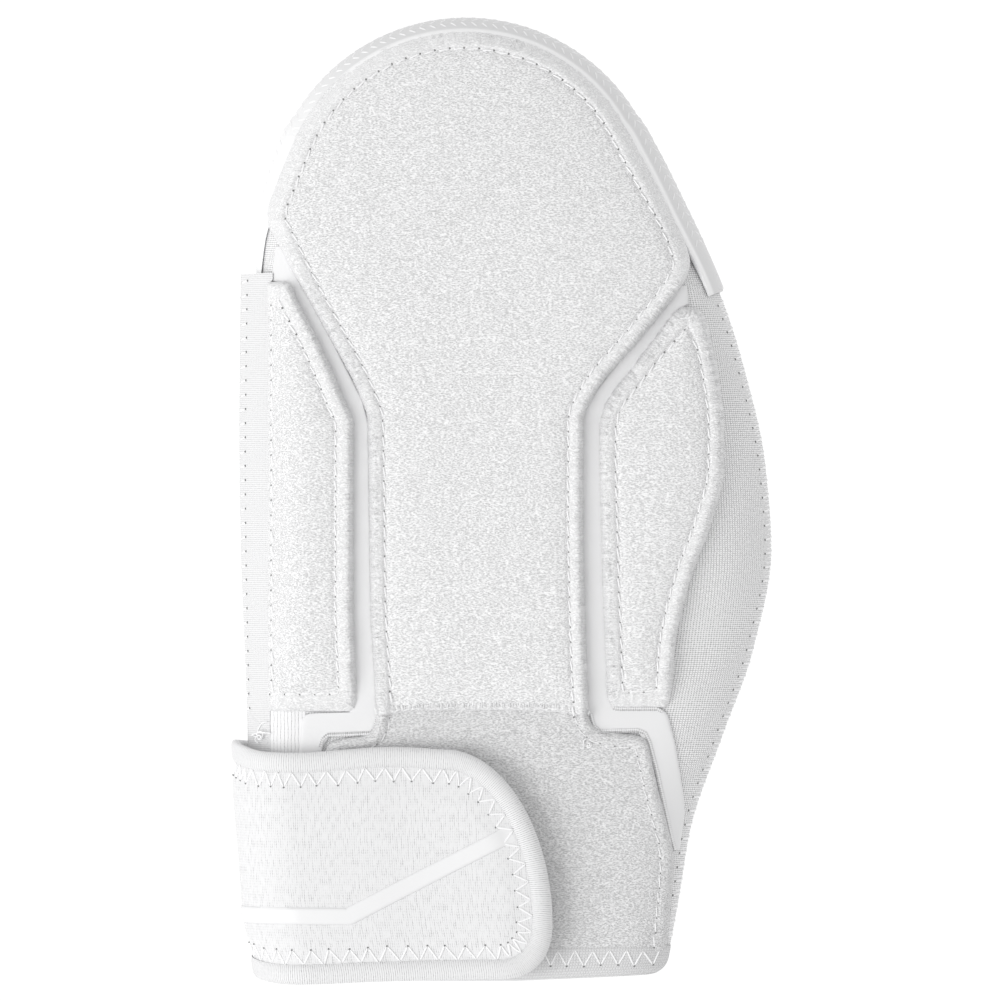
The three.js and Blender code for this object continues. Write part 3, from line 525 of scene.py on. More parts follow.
def pad_plan(rows, arch, y, column_count):
    """Plan grid of a pad at heights y, from rows of (y, left, right) and the arch above them."""
    left, right = (through(rows[::-1, 0], rows[::-1, k], y) for k in (1, 2))
    if arch:
        half = circle_half(y, arch["y"], arch["radius"])
        left = np.where(y > arch["from"], arch["x"] - half, left)
        right = np.where(y > arch["from"], arch["x"] + half, right)
    x = left[:, None] + stops(right - left, PAD_EDGE, column_count)
    return x, y[:, None] + np.zeros(x.shape)


def border_of(x, y, plain=None):
    """Bordered edge of a plan grid, with the grid on its left: its whole outline, or the outline without
    its plain side, which is its left or its foot."""
    left, right = (np.stack([x[:, k], y[:, k]], 1) for k in (0, -1))
    parts = {
        None: [left, right[::-1], left[:1]],
        "left": [left[-1:], right[::-1], left[:1]],
        "foot": [right[::-1], left],
    }
    line = np.concatenate(parts[plain])
    keep = np.concatenate([[True], np.linalg.norm(np.diff(line, axis=0), axis=1) > 1e-6])
    return line[keep]


def run_on(line, reach=14):
    """A line carried straight on at both ends."""
    first, last = unit(line[0] - line[1]), unit(line[-1] - line[-2])
    return np.concatenate([[line[0] + reach * first], line, [line[-1] + reach * last]])


def terry_height(x, y, inset, place, seed):
    """Nap of the terry, in mm: lying clumps wider than they are tall, and across the border streaks that
    run from the valley over the edge."""
    field = 0.06 * grain(x, y * 1.5, 1.1, seed) + 0.06 * grain(x, y * 1.4, 0.7, seed + 1)
    field += 0.07 * grain(x, y, 5.5, seed + 2)
    streak = 0.14 * grain(place, inset, 0.9, seed + 3) + 0.10 * grain(place * 3, inset, 1.3, seed + 4)
    border = 1 - smooth((inset - PAD_STITCH + 1.2) / 1.0)
    calm = smooth(np.abs(inset - PAD_STITCH) / 1.1)
    return swell(inset / 0.8) * calm * (field * (1 - border) + streak * border)


def closed_pad(top, seat, row_stride, column_stride):
    """Points and faces of a pad: the fine top grid, a coarse grid under it, and strips of triangles that
    join their edges, each coarse point to the fine points nearest to it along the edge."""
    rows, columns = top.shape[:2]
    pick_rows = np.unique(np.append(np.arange(0, rows, row_stride), rows - 1))
    pick_columns = np.unique(np.append(np.arange(0, columns, column_stride), columns - 1))
    under = seat[np.ix_(pick_rows, pick_columns)]
    fine = np.arange(rows * columns).reshape(rows, columns)
    coarse = fine.size + np.arange(under.shape[0] * under.shape[1]).reshape(under.shape[:2])
    faces = [*cells(rows, columns), *cells(*under.shape[:2], fine.size)[:, ::-1]]
    for line, picks, below in (
        (fine[0], pick_columns, coarse[0]), (fine[-1], pick_columns, coarse[-1]),
        (fine[:, 0], pick_rows, coarse[:, 0]), (fine[:, -1], pick_rows, coarse[:, -1]),
    ):
        near = np.abs(np.arange(len(line))[:, None] - picks).argmin(1)
        faces += [*np.stack([line[:-1], line[1:], below[near[1:]]], 1)]
        step = np.flatnonzero(np.diff(near))
        faces += [*np.stack([line[step], below[near[step + 1]], below[near[step]]], 1)]
    return np.concatenate([top.reshape(-1, 3), under.reshape(-1, 3)]), faces


def tubes(lines, radius, sides=5):
    """Points and faces of round threads along many lines of points, each closed to a point at both ends:
    a ring of that radius about every point, in the plane across the line."""
    count, steps = lines.shape[:2]
    tangent = unit(np.gradient(lines, axis=1))
    across = unit(np.cross(tangent, (0.02, 0.01, 1.0)))
    upward = np.cross(across, tangent)
    taper = np.sqrt(np.maximum(0, 1 - np.abs(np.linspace(-1, 1, steps)) ** 6))
    size = np.broadcast_to(np.asarray(radius, float), (count, steps)) * taper
    angle = np.arange(sides) * 2 * np.pi / sides
    ring = across[:, :, None] * np.cos(angle)[:, None] + upward[:, :, None] * np.sin(angle)[:, None]
    points = lines[:, :, None] + size[..., None, None] * ring
    one = cells(steps, sides, loop_columns=True)
    faces = (np.arange(count)[:, None, None] * steps * sides + one).reshape(-1, 4)
    return points.reshape(-1, 3), faces


def joined(*parts):
    """Several sets of points and faces as one."""
    faces, first = [], 0
    for points, some in parts:
        faces += [np.asarray(face) + first for face in some]
        first += len(points)
    return np.concatenate([points for points, _ in parts]), faces


def at_lengths(line, place, values=None):
    """Points of a line at lengths along it, or values that go with its points, both blended in between."""
    values = line if values is None else values
    along = lengths(line)
    return np.stack([np.interp(place, along, values[:, k]) for k in range(values.shape[1])], -1)


def border_nap(outline, seed, roll, foot, per_mm=3.6, rise=1.0):
    """Bundles of nap that lie across a pad's border: each starts up to 3 mm inside the edge, follows the
    roll out and hangs a little over the edge. The outline runs with the pad on its left, and the pad's
    height is times rise. There is none next to the guard, or along a low foot."""
    rng = np.random.default_rng(seed)
    whole = lengths(outline)[-1]
    place = rng.uniform(0, whole, int(whole * per_mm))
    base = at_lengths(outline, place)
    keep = (base[:, 1] < ARCH_FROM - 2) & (base[:, 1] > foot + 0.8)
    place, base = place[keep], base[keep]
    normal = at_lengths(outline, place, left_of(outline))
    t = np.linspace(0, 1, NAP_POINTS // 3)
    reach = rng.uniform(1.4, 3.3, len(place))[:, None] * (1 - t) - 0.3 * t**3
    sway = rng.normal(0, 0.22, len(place))[:, None] * t
    x = base[:, :1] + normal[:, :1] * reach - normal[:, 1:] * sway
    y = base[:, 1:] + normal[:, 1:] * reach + normal[:, :1] * sway
    lift = rng.uniform(0.0, 0.25, len(place))[:, None] * (0.4 + 0.6 * t)
    width = rng.uniform(0.1, 0.22, len(place))[:, None]
    inset = np.maximum(reach, 0)
    height = np.maximum(pad_height(inset, inset, y, roll, foot), 0.9) * rise
    return tubes(on_front(x, y, PAD_SEAT + height + lift), width, sides=3)


def lockstitch(line, offset, foot=NO_FOOT, pitch=4.2, slack=0.5, lift=0.22, slant=0.22):
    """Lines of a row of stitches along a plan line: each rises from its needle hole, lies slightly aslant
    and goes down into the next hole. The seam lies lower towards a pad's foot."""
    count = int(lengths(line)[-1] // pitch)
    t = np.linspace(0, 1, 7)
    place = pitch * np.arange(count)[:, None] + slack + (pitch - 2 * slack) * t
    side = at_lengths(line, place, left_of(line))
    spot = at_lengths(line, place) + side * (slant * (t - 0.5) * 2)[None, :, None]
    low = 1 - FOOT_DROP * (1 - smooth((spot[..., 1] - foot) / FOOT_RAMP))
    bow = np.stack([0 * t, 0 * t, lift * np.sin(np.pi * t) + 0.1], -1)
    return on_front(spot[..., 0], spot[..., 1], offset * low) + bow


def needle_hole_shade(centres, radius):
    """Painted shade of needle holes: small dimples at points in mm, coloured dark, closed six-sided plugs,
    half as wide at the bottom.
    """
    angle = np.arange(6) * np.pi / 3
    ring = np.stack([np.cos(angle), np.sin(angle), 0 * angle], 1) * radius
    shape = np.concatenate([ring, ring * 0.5 - (0, 0, 0.25)])
    points = (centres[:, None] + shape).reshape(-1, 3)
    start = 12 * np.arange(len(centres))[:, None]
    sides = start[..., None] + cells(2, 6, loop_columns=True)
    return points, [*sides.reshape(-1, 4), *(start + np.arange(5, -1, -1)), *(start + np.arange(6, 12))]


def sewn(place, stitch, lines, holes, thread, hole, slot, lift=0.05):
    """Two pieces of a seam: threads of one radius along lines, and needle holes of another, a little above
    the points given for them, coloured dark as painted shade."""
    piece(f"{place}_{stitch}", *tubes(lines, thread), thread_white, slot)
    piece(f"{place}_needle_hole_shade", *needle_hole_shade(holes + (0, 0, lift), hole), hole_shadow, slot)


def inset_line(outline, inset):
    """The outline moved in by an inset at each point, without the places that come closer to it."""
    moved = outline + left_of(outline) * inset[:, None]
    away = nearest(outline, moved[:, 0], moved[:, 1])[0]
    return moved[away > inset - 0.15]


def terry(name, colour, dark):
    """Brushed terry, matt and fuzzy: its height is a noise of clumps and a finer one of fibres, both drawn
    out across the mitt, and its hollows are darker, painted shade. Where a piece keeps painted light on its
    points, its hollows are lifted that far towards full colour."""
    made, tree, shader = finish_of(name, colour, 0.95, sheen=0.2, specular=0.1)
    flat = add(tree, "ShaderNodeMapping", {"Vector": object_place(tree), "Scale": (0.46, 1.28, 1.0)})
    clumps = add(tree, "ShaderNodeTexNoise",
                 {"Vector": flat, "Scale": 2900.0, "Detail": 1.0, "Roughness": 0.6})
    fibres = add(tree, "ShaderNodeTexNoise", {"Vector": flat, "Scale": 3600.0, "Detail": 1.0})
    mixed = calc(tree, "MULTIPLY_ADD", clumps, 0.7, calc(tree, "MULTIPLY", fibres, 0.3))
    height = add(tree, "ShaderNodeMapRange", {0: mixed, 1: 0.355, 2: 0.575})
    # Painted light kept on the points lifts the colour of the hollows.
    painted_lift = calc(tree, "MULTIPLY", kept_value(tree, "painted_light", "Fac"), 0.7)
    tinted(tree, shader, calc(tree, "MAXIMUM", height, painted_lift), dark, colour)
    raised(tree, shader, height, 0.13)
    return made


def pad(name, rows, node, stitch, row_count, column_count, seed, roll, foot, arch=None, plain=None):
    """A whole pad: its closed terry shell. stitch and roll are tables of the seam's inset and the edge's roll
    over the height, and foot is where its low foot lies. A plain side has no rolled border, and the pad is
    thinned down to it; a plain foot bows down at its ends, by the fourth power of the place across. The
    result is the bordered edge and the seam's line."""
    x, y = pad_plan(rows, arch, pad_rows(rows, arch, row_count), column_count)
    if plain == "foot":
        across = 2 * (x - x[:, :1]) / (x[:, -1:] - x[:, :1]) - 1
        y = y - FOOT_BOW * smooth((rows[-1, 0] + FOOT_BOW_REACH - y) / FOOT_BOW_REACH) * across**4
    border = border_of(x, y, plain)
    edge, place = nearest(run_on(border) if plain else border, x, y)
    deep = {None: edge, "left": x - x[:, :1], "foot": y - y[-1]}[plain]
    inset = edge * PAD_STITCH / through(*stitch, y)
    height = pad_height(inset, edge, y, roll, foot)
    if plain:
        least = FOOT_EDGE if plain == "foot" else PLAIN_EDGE
        thin = np.minimum(height, least + (height - least) * smooth(deep / PLAIN_RAMP))
        height = (height + (thin - height) * smooth((inset - 2.2) / 2.6)) * swell(0.02 + deep / 0.9)
    top = on_front(x, y, PAD_SEAT + height + terry_height(x, y, inset, place, seed) * swell(deep))
    shell = closed_pad(top, on_front(x, y, PAD_SEAT), 6, 9)
    # Painted light: the hollows along each pad's rolled border are lifted towards full white in streaks,
    # where the border would lie in its own shade.
    painted_light = np.zeros(len(shell[0]))
    streaks = 0.8 + 0.4 * grain(place * 2.2, inset * 0.4, 0.9, seed + 5)
    painted_light[:inset.size] = np.ravel(streaks * (1 - smooth((inset - PAD_STITCH + 0.6) / 0.8)))
    made = piece(name, *shell, terry_white, "terry", [node], painted_light=painted_light)
    return border, inset_line(border, through(*stitch, border[:, 1]))


terry_white = terry("terry_white", TERRY_WHITE, 0.65)
thread_white, tree, shader = finish_of("thread_white", THREAD_WHITE, 0.6, sheen=0.2)
rippled(tree, shader, 3000.0, 0.05)
# The needle holes' dark grey is painted shade: the shade inside each small hole.
hole_shadow = finish_of("hole_shadow", HOLE_SHADE, 0.9)[0]
edges = [(CENTER_ROLL, NO_FOOT), (SIDE_ROLL, LEFT_PAD[-1, 0]), (SIDE_ROLL, RIGHT_PAD[-1, 0])]
pads = [
    pad("center_pad_terry", CENTER_PAD, "center_pad", CENTER_STITCH, 330, 170, 11, *edges[0],
        arch=CENTER_ARCH, plain="foot"),
    pad("left_pad_terry", LEFT_PAD, "left_pad", LEFT_STITCH, 230, 36, 31, *edges[1], plain="left"),
    pad("right_pad_terry", RIGHT_PAD, "right_pad", RIGHT_STITCH, 215, 46, 51, *edges[2]),
]
foot_y, foot_left, foot_right = CENTER_PAD[-1]
share = np.linspace(-1, 1, 60)
foot_x = (foot_left + foot_right) / 2 + (foot_right - foot_left) / 2 * share
foot_line = np.stack([foot_x, foot_y - FOOT_BOW * share**4], 1)
naps = [border_nap(border, 90 + k, *edges[k]) for k, (border, seam) in enumerate(pads)]
nap = joined(*naps, border_nap(foot_line, 97, SIDE_ROLL, NO_FOOT, per_mm=5.0, rise=0.7))
# Painted light: each bundle of border nap has its hollows lifted by a random amount, against the shade among
# the bundles.
painted_light = np.random.default_rng(98).uniform(0.1, 1.4, len(nap[0]) // NAP_POINTS).repeat(NAP_POINTS)
piece("pad_border_nap", *nap, terry_white, "terry", painted_light=painted_light)
seam_height = PAD_SEAT + np.interp(PAD_STITCH, *PAD_PROFILE)
seams = [lockstitch(seam, seam_height, foot) for (border, seam), (roll, foot) in zip(pads, edges)]
band_y = np.arange(BAND_SEAM_TOP, BAND_SEAM_END, -1.0)
band_seam = np.stack([np.full(band_y.shape, BAND_SEAM_X), band_y], 1)
seams = np.concatenate([*seams, lockstitch(band_seam, PAD_SEAT + PLAIN_EDGE)])
sewn("pad", "lockstitch", seams, seams[:, 0], PAD_THREAD, PAD_HOLE, "terry")

# Fingertip guard
# A bumper moulded from white rubber, hooked over the fingertip edge of both panels. Its front lip is a
# smooth raised bead, and its outer roll carries a pattern of short raised bars.
GUARD_LEFT_END, GUARD_RIGHT_END, GUARD_RIM = 63.2, 58.4, 15
GUARD_GAP, GUARD_WALL, GUARD_END_WALL, GUARD_THINNING = 0.3, 2.3, 1.3, 24
GUARD_LIP = np.array([
    (0, 0.9), (10, 1.8), (15, 2.8), (22, 4.3), (32, 5.2), (44, 5.0), (55, 3.4), (66, 2.8), (119, 2.9),
    (164, 3.7),
]).T
GUARD_BACK_LIP_END, GUARD_BACK_LIP = 3, 10
GUARD_BEAD = 0.8
GUARD_WHITE, BAR_WHITE = (0.93, 0.93, 0.935), (0.92, 0.92, 0.925)
BAR_PITCH, BAR_HALF, BAR_LEAN, BAR_RADIUS, BAR_SUNK = 2.9, 0.95, 0.095, 0.27, 0.06
BAR_TURNS = np.arange(0.4, 1.6, 0.23)
guard_run = np.concatenate([
    half_seam(-1, GUARD_LEFT_END, 1.0), half_seam(1, GUARD_RIGHT_END, 1.0)[-2::-1],
])
guard_whole = lengths(guard_run)[-1]


def on_wall(x, y, inset, offset, front):
    """Points over plan places, offset out from the shown side where front is true, and elsewhere from the
    palm side."""
    z = np.where(front, front_height(x, y, inset, offset), back_height(x, y, inset, offset))
    return np.stack([x, y, z], -1)


def round_seam(run, place, turn, offset, front_lip, back_lip):
    """A point over the seam's edge, offset out from both walls, at a length along a run of the seam that
    has the mitt on its right. turn goes from 0 at the front lip's inset over 1 at the seam to 2 at the
    back lip's, in even angles."""
    px, py = np.moveaxis(at_lengths(run, place), -1, 0)
    nx, ny = np.moveaxis(at_lengths(run, place, left_of(run)), -1, 0)
    on_top = turn <= 1
    front_width = np.where(px < TIP_X, form("round_left", py), form("round_right", py))
    width = np.where(on_top, front_width, BACK_ROUND)
    lip = np.where(on_top, front_lip, back_lip)
    angle = np.abs(1 - turn) * np.arccos(1 - (lip + offset) / (width + offset))
    inset = (width + offset) * (1 - np.cos(angle)) - offset
    return on_wall(px - nx * inset, py - ny * inset, inset, offset, on_top)


def guard_point(place, turn, outer, lift=0.0):
    """A point of the guard at a length along its run, on its outside for outer 1 and its inside for 0. Its
    wall thins towards both ends, and on the left runs on as a thin rim. Its front lip is a bead."""
    end = np.minimum(np.maximum(place - GUARD_RIM, 0), guard_whole - place)
    wall = GUARD_END_WALL + (GUARD_WALL - GUARD_END_WALL) * smooth(end / GUARD_THINNING)
    bead = GUARD_BEAD * np.exp(-(((turn - 0.1) / 0.09) ** 2)) * smooth(end / 8)
    rounded = swell(turn / 0.09) * swell((2 - turn) / 0.1) * swell(0.12 + end / 1.5)
    gap = GUARD_GAP * (0.2 + 0.8 * smooth((place - 6) / GUARD_RIM))
    offset = gap + outer * ((wall + bead) * (0.15 + 0.85 * rounded) + lift)
    front_lip = through(*GUARD_LIP, place)
    bow = np.sin(np.pi * (place / guard_whole))
    back_lip = GUARD_BACK_LIP_END + (GUARD_BACK_LIP - GUARD_BACK_LIP_END) * bow
    return round_seam(guard_run, place, turn, offset, front_lip, back_lip)


def guard_bars():
    """Lines of the raised bars on the outer roll: rows of short strokes, which lean one way in a row and
    the other way in the next."""
    place = np.arange(GUARD_RIM + 8, guard_whole - 14, BAR_PITCH)
    k, j = np.meshgrid(np.arange(len(place)), np.arange(len(BAR_TURNS)))
    lean = np.where(j % 2, 1, -1).ravel()[:, None]
    t = np.linspace(-1, 1, 5)
    along = (place[k] + 0.2 * (j % 2)).ravel()[:, None] + BAR_HALF * t
    turn = BAR_TURNS[j].ravel()[:, None] + BAR_LEAN * lean * t
    return guard_point(along, turn, 1, -BAR_SUNK)


guard_rubber, tree, shader = finish_of("guard_rubber", GUARD_WHITE, 0.5, specular=0.4)
rippled(tree, shader, 900.0, 0.04)
tinted(tree, shader, kept_value(tree, "painted_light", "Fac"), 0.78, GUARD_WHITE)
place, turn = np.meshgrid(np.linspace(0, guard_whole, 360), np.linspace(0, 2, 61), indexing="ij")
shell = plate(guard_point(place, turn, 1), guard_point(place, turn, 0))
# Painted light and shade: the guard's outer roll is painted darker, shade where it turns from the light,
# while its lip bead and its left end are painted lighter, where the light falls on them.
painted_light = np.maximum(1 - smooth((turn - 0.16) / 0.1), 0.9 * (1 - smooth((place - GUARD_RIM - 10) / 55)))
painted_light = np.concatenate([np.ravel(painted_light)] * 2)
piece("tip_guard_rubber", *shell, guard_rubber, "rubber", ["tip_guard"], painted_light=painted_light)
bar_white = finish_of("bar_white", BAR_WHITE, 0.5)[0]
piece("tip_guard_bars", *tubes(guard_bars(), BAR_RADIUS), bar_white, "rubber")

# Left edge band
# A strip of finely ribbed knit folded over the left side seam and sewn down along it. At its lower end the
# top layer is folded in at a slant.
BAND_SEAT, BAND_WALL = 0.4, 1.2
BAND_FRONT_EDGE, BAND_FOOT_EDGE, BAND_BACK_LIP, BAND_THINNING = -64.8, -64.6, 5, 0.7
BAND_TOP, BAND_BOTTOM, BAND_DOTS_END = 63.6, -72, -60
BAND_FOOT, BAND_HEAD, BAND_HEAD_EXTRA = -58.8, 60.6, 1.0
BAND_OUTER = np.array([(-72, -71), (-57, -71.4), (-11.3, -73.1), (16.7, -73.5), (63.6, -73.1)]).T
BAND_FOLD, BAND_FOLD_DEPTH = np.array([(-69.9, -58.9), (-62.6, -69.2)]).T, 0.6
BAND_WHITE = (0.8, 0.8, 0.805)


def band_point(y, turn, outer):
    """A point of the band at height y; turn goes from -1 at its front edge over 0 at the seam to 1 at the
    back. Its wall is thickest at the seam, and thinner below the slanting fold at its lower end. At the
    top and below the pad's foot its front edge reaches further in."""
    edge = side_seam(y)[0]
    share, front = np.abs(turn), turn < 0
    width = np.where(front, form("round_left", y), BACK_ROUND)
    foot = 1 - smooth((y - BAND_FOOT) / 1.4)
    wider = (BAND_FOOT_EDGE - BAND_FRONT_EDGE) * foot + BAND_HEAD_EXTRA * smooth((y - BAND_HEAD) / 1.2)
    reach = np.where(front, BAND_FRONT_EDGE + wider - edge, BAND_BACK_LIP)
    flat_x = edge + width * (1 - np.cos(share * np.arccos(1 - reach / width)))
    below = smooth((np.interp(flat_x, *BAND_FOLD) - y) / 0.8 + 0.5) * smooth((share - 0.08) / 0.25) * front
    nose = edge - through(*BAND_OUTER, y) - BAND_SEAT
    rounded = np.where(front, 1, 0.15 + 0.85 * swell((1 - share) / 0.12))
    wall = rounded * (nose + (BAND_WALL - nose) * share**BAND_THINNING) - BAND_FOLD_DEPTH * below
    wall *= 1 - 0.8 * foot * front * smooth((share - 0.6) / 0.4)
    offset = BAND_SEAT * (1 - 0.7 * foot * front) + outer * wall
    angle = share * np.arccos(1 - (reach + offset) / (width + offset))
    inset = (width + offset) * (1 - np.cos(angle)) - offset
    return on_wall(edge + inset, y, inset, offset, front)


band_knit = knit("band_knit", BAND_WHITE, wale=1.3, course=0.55, depth=0.08, dark=0.8, slant=0.1, gap=0.15)
turn, y = np.meshgrid(np.linspace(-1, 1, 61), np.linspace(BAND_TOP, BAND_BOTTOM, 260))
outer, inner = band_point(y, turn, 1), band_point(y, turn, 0)
weave = np.concatenate([cloth_map(outer).reshape(-1, 3)] * 2)
band = piece("left_band_knit", *plate(outer, inner), band_knit, "knit", ["left_edge_band"], weave)

# Side overlock
# White thread sewn over the side seam: along the right side over both panels, and on the left over the
# band. Each loop rises from a needle hole in front, goes aslant over the edge and down behind.
OVERLOCK_PITCH, OVERLOCK_LEAN, OVERLOCK_INSET = 4.0, -1.6, 2.0
OVERLOCK_THREAD, OVERLOCK_FILLER, BAND_THREAD, OVERLOCK_HOLE = 0.28, 0.16, 0.26, 0.36
OVERLOCK_START = -127
t = np.linspace(0, 1, 11)
right_run = half_seam(1, OVERLOCK_START, 1.0)[::-1]
right_run = right_run[right_run[:, 1] < GUARD_RIGHT_END - 1.5]
place = np.arange(1, lengths(right_run)[-1] - 3, OVERLOCK_PITCH / 3)[:, None] + OVERLOCK_LEAN * t
third = np.arange(len(place)) % 3 == 0
reach = np.where(third, OVERLOCK_INSET, OVERLOCK_INSET - 0.5)[:, None]
right_loops = round_seam(right_run, place, 2 * t + 0 * place, 0.0, reach, 0.5)
band_y = np.arange(BAND_TOP - 2, BAND_DOTS_END, -OVERLOCK_PITCH)[:, None] + OVERLOCK_LEAN * t
left_loops = band_point(band_y, -0.29 + 0.75 * t + 0 * band_y, 1) + (0, 0, 0.1)
loops = np.concatenate([right_loops, left_loops])
size = np.full((len(loops), 1), BAND_THREAD)
size[:len(right_loops), 0] = np.where(third, OVERLOCK_THREAD, OVERLOCK_FILLER)
holes = np.concatenate([right_loops[::3, 0], left_loops[:, 0]])
sewn("side", "overlock", loops, holes, size, OVERLOCK_HOLE, "knit")

# Wrist panel
# Grey loop pile over thin foam, which the strap's hooks hold on to. Its border is turned under like a
# pad's and sewn down, from the centre pad's foot down both sides to the hem.
PANEL_PROFILE = np.array([(0, 2.6), (1.8, 2.8), (3.2, 2.5), (3.9, 2.0), (6, 1.95), (12, 1.75)]).T
PANEL_END, PANEL_FILL = 0.5, 0.5
PANEL_TURN = (-64, -69)
PANEL_STITCH, PANEL_THREAD, PANEL_HOLE = 3.9, 0.15, 0.3
PILE_GREY = (0.855, 0.855, 0.86)
WRIST_PANEL = np.array([
    (-56.5, -34.9, 24.4), (-59.5, -34.8, 24.6), (-62, -35, 25.3), (-63.8, -35.6, 27.2), (-64.9, -36.4, 31),
    (-65.5, -37.4, 36.2), (-66.1, -39.4, 39), (-66.7, -44, 40.4), (-67.8, -47.6, 41.2), (-70.4, -49.2, 41.9),
    (-81.5, -52.2, 44.4), (-90.9, -53.6, 46.9), (-97.6, -54.4, 48.4), (-103, -54.8, 48.7), (-112, -55, 48),
    (-126.3, -55, 46.7),
])


def panel_height(inset):
    """Height of the wrist panel above its seat: its rolled border, the valley inside it and the pile."""
    return swell(inset / PAD_ROLL) * through(*PANEL_PROFILE, inset)


panel_y = np.concatenate([
    np.linspace(WRIST_PANEL[0, 0], PANEL_TURN[0], 16, endpoint=False),
    np.linspace(*PANEL_TURN, 40, endpoint=False),
    np.linspace(PANEL_TURN[1], WRIST_PANEL[-1, 0], 110),
])
x, y = pad_plan(WRIST_PANEL, None, panel_y, 150)
side_lines = [np.stack([x[::-1, -1], y[::-1, -1]], 1), np.stack([x[:, 0], y[:, 0]], 1)]
right_inset, right_place = nearest(run_on(side_lines[0]), x, y)
left_inset, left_place = nearest(run_on(side_lines[1]), x, y)
inset = np.minimum(left_inset, right_inset)
place = np.where(left_inset < right_inset, left_place, right_place + 500)
height = panel_height(inset) * (PANEL_END + (1 - PANEL_END) * smooth((y - y[-1]) / 9))
height *= 1 + 0.45 * smooth((y + 66) / 7) * (1 - smooth((inset - 2) / 2))
top = on_front(x, y, PAD_SEAT + height + terry_height(x, y, inset, place, 71))
shell = closed_pad(top, on_front(x, y, PAD_SEAT), 6, 9)
pile_grey = terry("pile_grey", PILE_GREY, 0.62)
wrist_panel = piece("wrist_panel_pile", *shell, pile_grey, "loop_pile", ["wrist_panel"])
seam_height = PAD_SEAT + panel_height(np.float64(PANEL_STITCH))
seams = [inset_line(line, np.full(len(line), PANEL_STITCH)) for line in side_lines]
seams = np.concatenate([lockstitch(seam, seam_height) for seam in seams])
sewn("panel", "lockstitch", seams, seams[:, 0], PANEL_THREAD, PANEL_HOLE, "loop_pile")

# Seam strips
# Ribbed knit tape that shows in the narrow gaps between the films and the borders beside them, and a patch
# of it below the left pad's foot.
STRIP_WIDTH, STRIP_RISE = 1.15, 1.5
STRIP_WHITE, PATCH_WHITE = (0.92, 0.92, 0.925), (0.86, 0.86, 0.865)
PATCH_LINE, PATCH_WIDTH, PATCH_RISE = np.array([(-66.2, -65.6), (-54.6, -65.6)]), 13, 0.25
STRIP_LINES = [
    np.array([(25, -59.4), (26, -63), (27.6, -64.7), (38.2, -64.4), (40.4, -65.2), (41.6, -67.7), (43.8, -76),
              (46, -86), (47.9, -94.8), (48.9, -98.4)]),
    np.array([(31.4, -58.1), (32.7, -58.5), (43.8, -58.5), (45.2, -59.3)]),
    np.array([(-34.4, -60.4), (-35, -64), (-36.5, -65.2), (-48.4, -65.7), (-49.8, -67), (-50.5, -69.5)]),
]


def strip(line, width=STRIP_WIDTH, rise=STRIP_RISE, columns=5):
    """Points, faces and weave of a flat tape along a plan line: a plate of that width, slightly crowned,
    whose weave runs along it."""
    along = np.arange(0, lengths(line)[-1], 0.4)
    middle = at_lengths(line, along)
    across = np.linspace(-0.5, 0.5, columns) * width
    flat = middle[:, None] + left_of(middle)[:, None] * across[None, :, None]
    x, y = flat[..., 0], flat[..., 1]
    outer = on_front(x, y, rise * (1 - 0.2 * (2 * across / width) ** 2) + 0 * x)
    weave = np.stack([along[:, None] + 0 * x, across + 0 * x, 0 * x], -1).reshape(-1, 3)
    return *plate(outer, on_front(x, y, 0.2 * rise)), np.concatenate([weave, weave])


strip_knit = knit("strip_knit", STRIP_WHITE, wale=0.6, course=1.1, depth=0.2, dark=0.45, slant=0.0)
strips = [strip(line) for line in STRIP_LINES]
weave = np.concatenate([each[2] for each in strips])
piece("seam_strips", *joined(*(each[:2] for each in strips)), strip_knit, "knit", weave=weave)
patch_knit = knit("patch_knit", PATCH_WHITE, wale=1.0, course=0.8, depth=0.14, dark=0.45, slant=0.0,
                  gap=0.4, ribs=0.25)
points, faces, weave = strip(PATCH_LINE, PATCH_WIDTH, PATCH_RISE, 40)
piece("left_rib_patch", points, faces, patch_knit, "knit", weave=weave)

# Thread ends
# White thread that is left at the ends of seams: a small knot beside the neck's right foot, and loose
# loops below the slanted end of the left band.
KNOT = {"centre": (23.8, -68.2), "spread": (0.4, 0.2), "count": 4, "length": 2.4, "lift": 2.4, "seed": 5}
LOOPS = {"centre": (-68.0, -66.6), "spread": (0.9, 1.6), "count": 9, "length": 5.0, "lift": 1.3, "seed": 8}
END_STEPS, END_THREAD = 16, 0.17


def tangle(centre, spread, count, length, lift, seed):
    """Lines of loose thread round a plan place: each starts near it, takes even steps with a heading that
    turns at random, and lies a little above the shown side."""
    rng = np.random.default_rng(seed)
    bend = rng.normal(0, 0.25, (count, 1)) + rng.normal(0, 0.2, (count, END_STEPS))
    heading = rng.uniform(0, 2 * np.pi, (count, 1)) + bend.cumsum(1)
    step = length / END_STEPS * rng.uniform(0.6, 1.2, (count, 1))
    start = np.asarray(centre) + rng.normal(0, 1, (count, 2)) * spread
    x = start[:, :1] + (np.cos(heading) * step).cumsum(1)
    y = start[:, 1:] + (np.sin(heading) * step).cumsum(1)
    rise = lift + rng.uniform(0, 0.8, (count, 1)) * np.sin(np.linspace(0, np.pi, END_STEPS))
    return on_front(x, y, rise)


ends = np.concatenate([tangle(**KNOT), tangle(**LOOPS)])
piece("thread_ends", *tubes(ends, END_THREAD), thread_white, "terry")

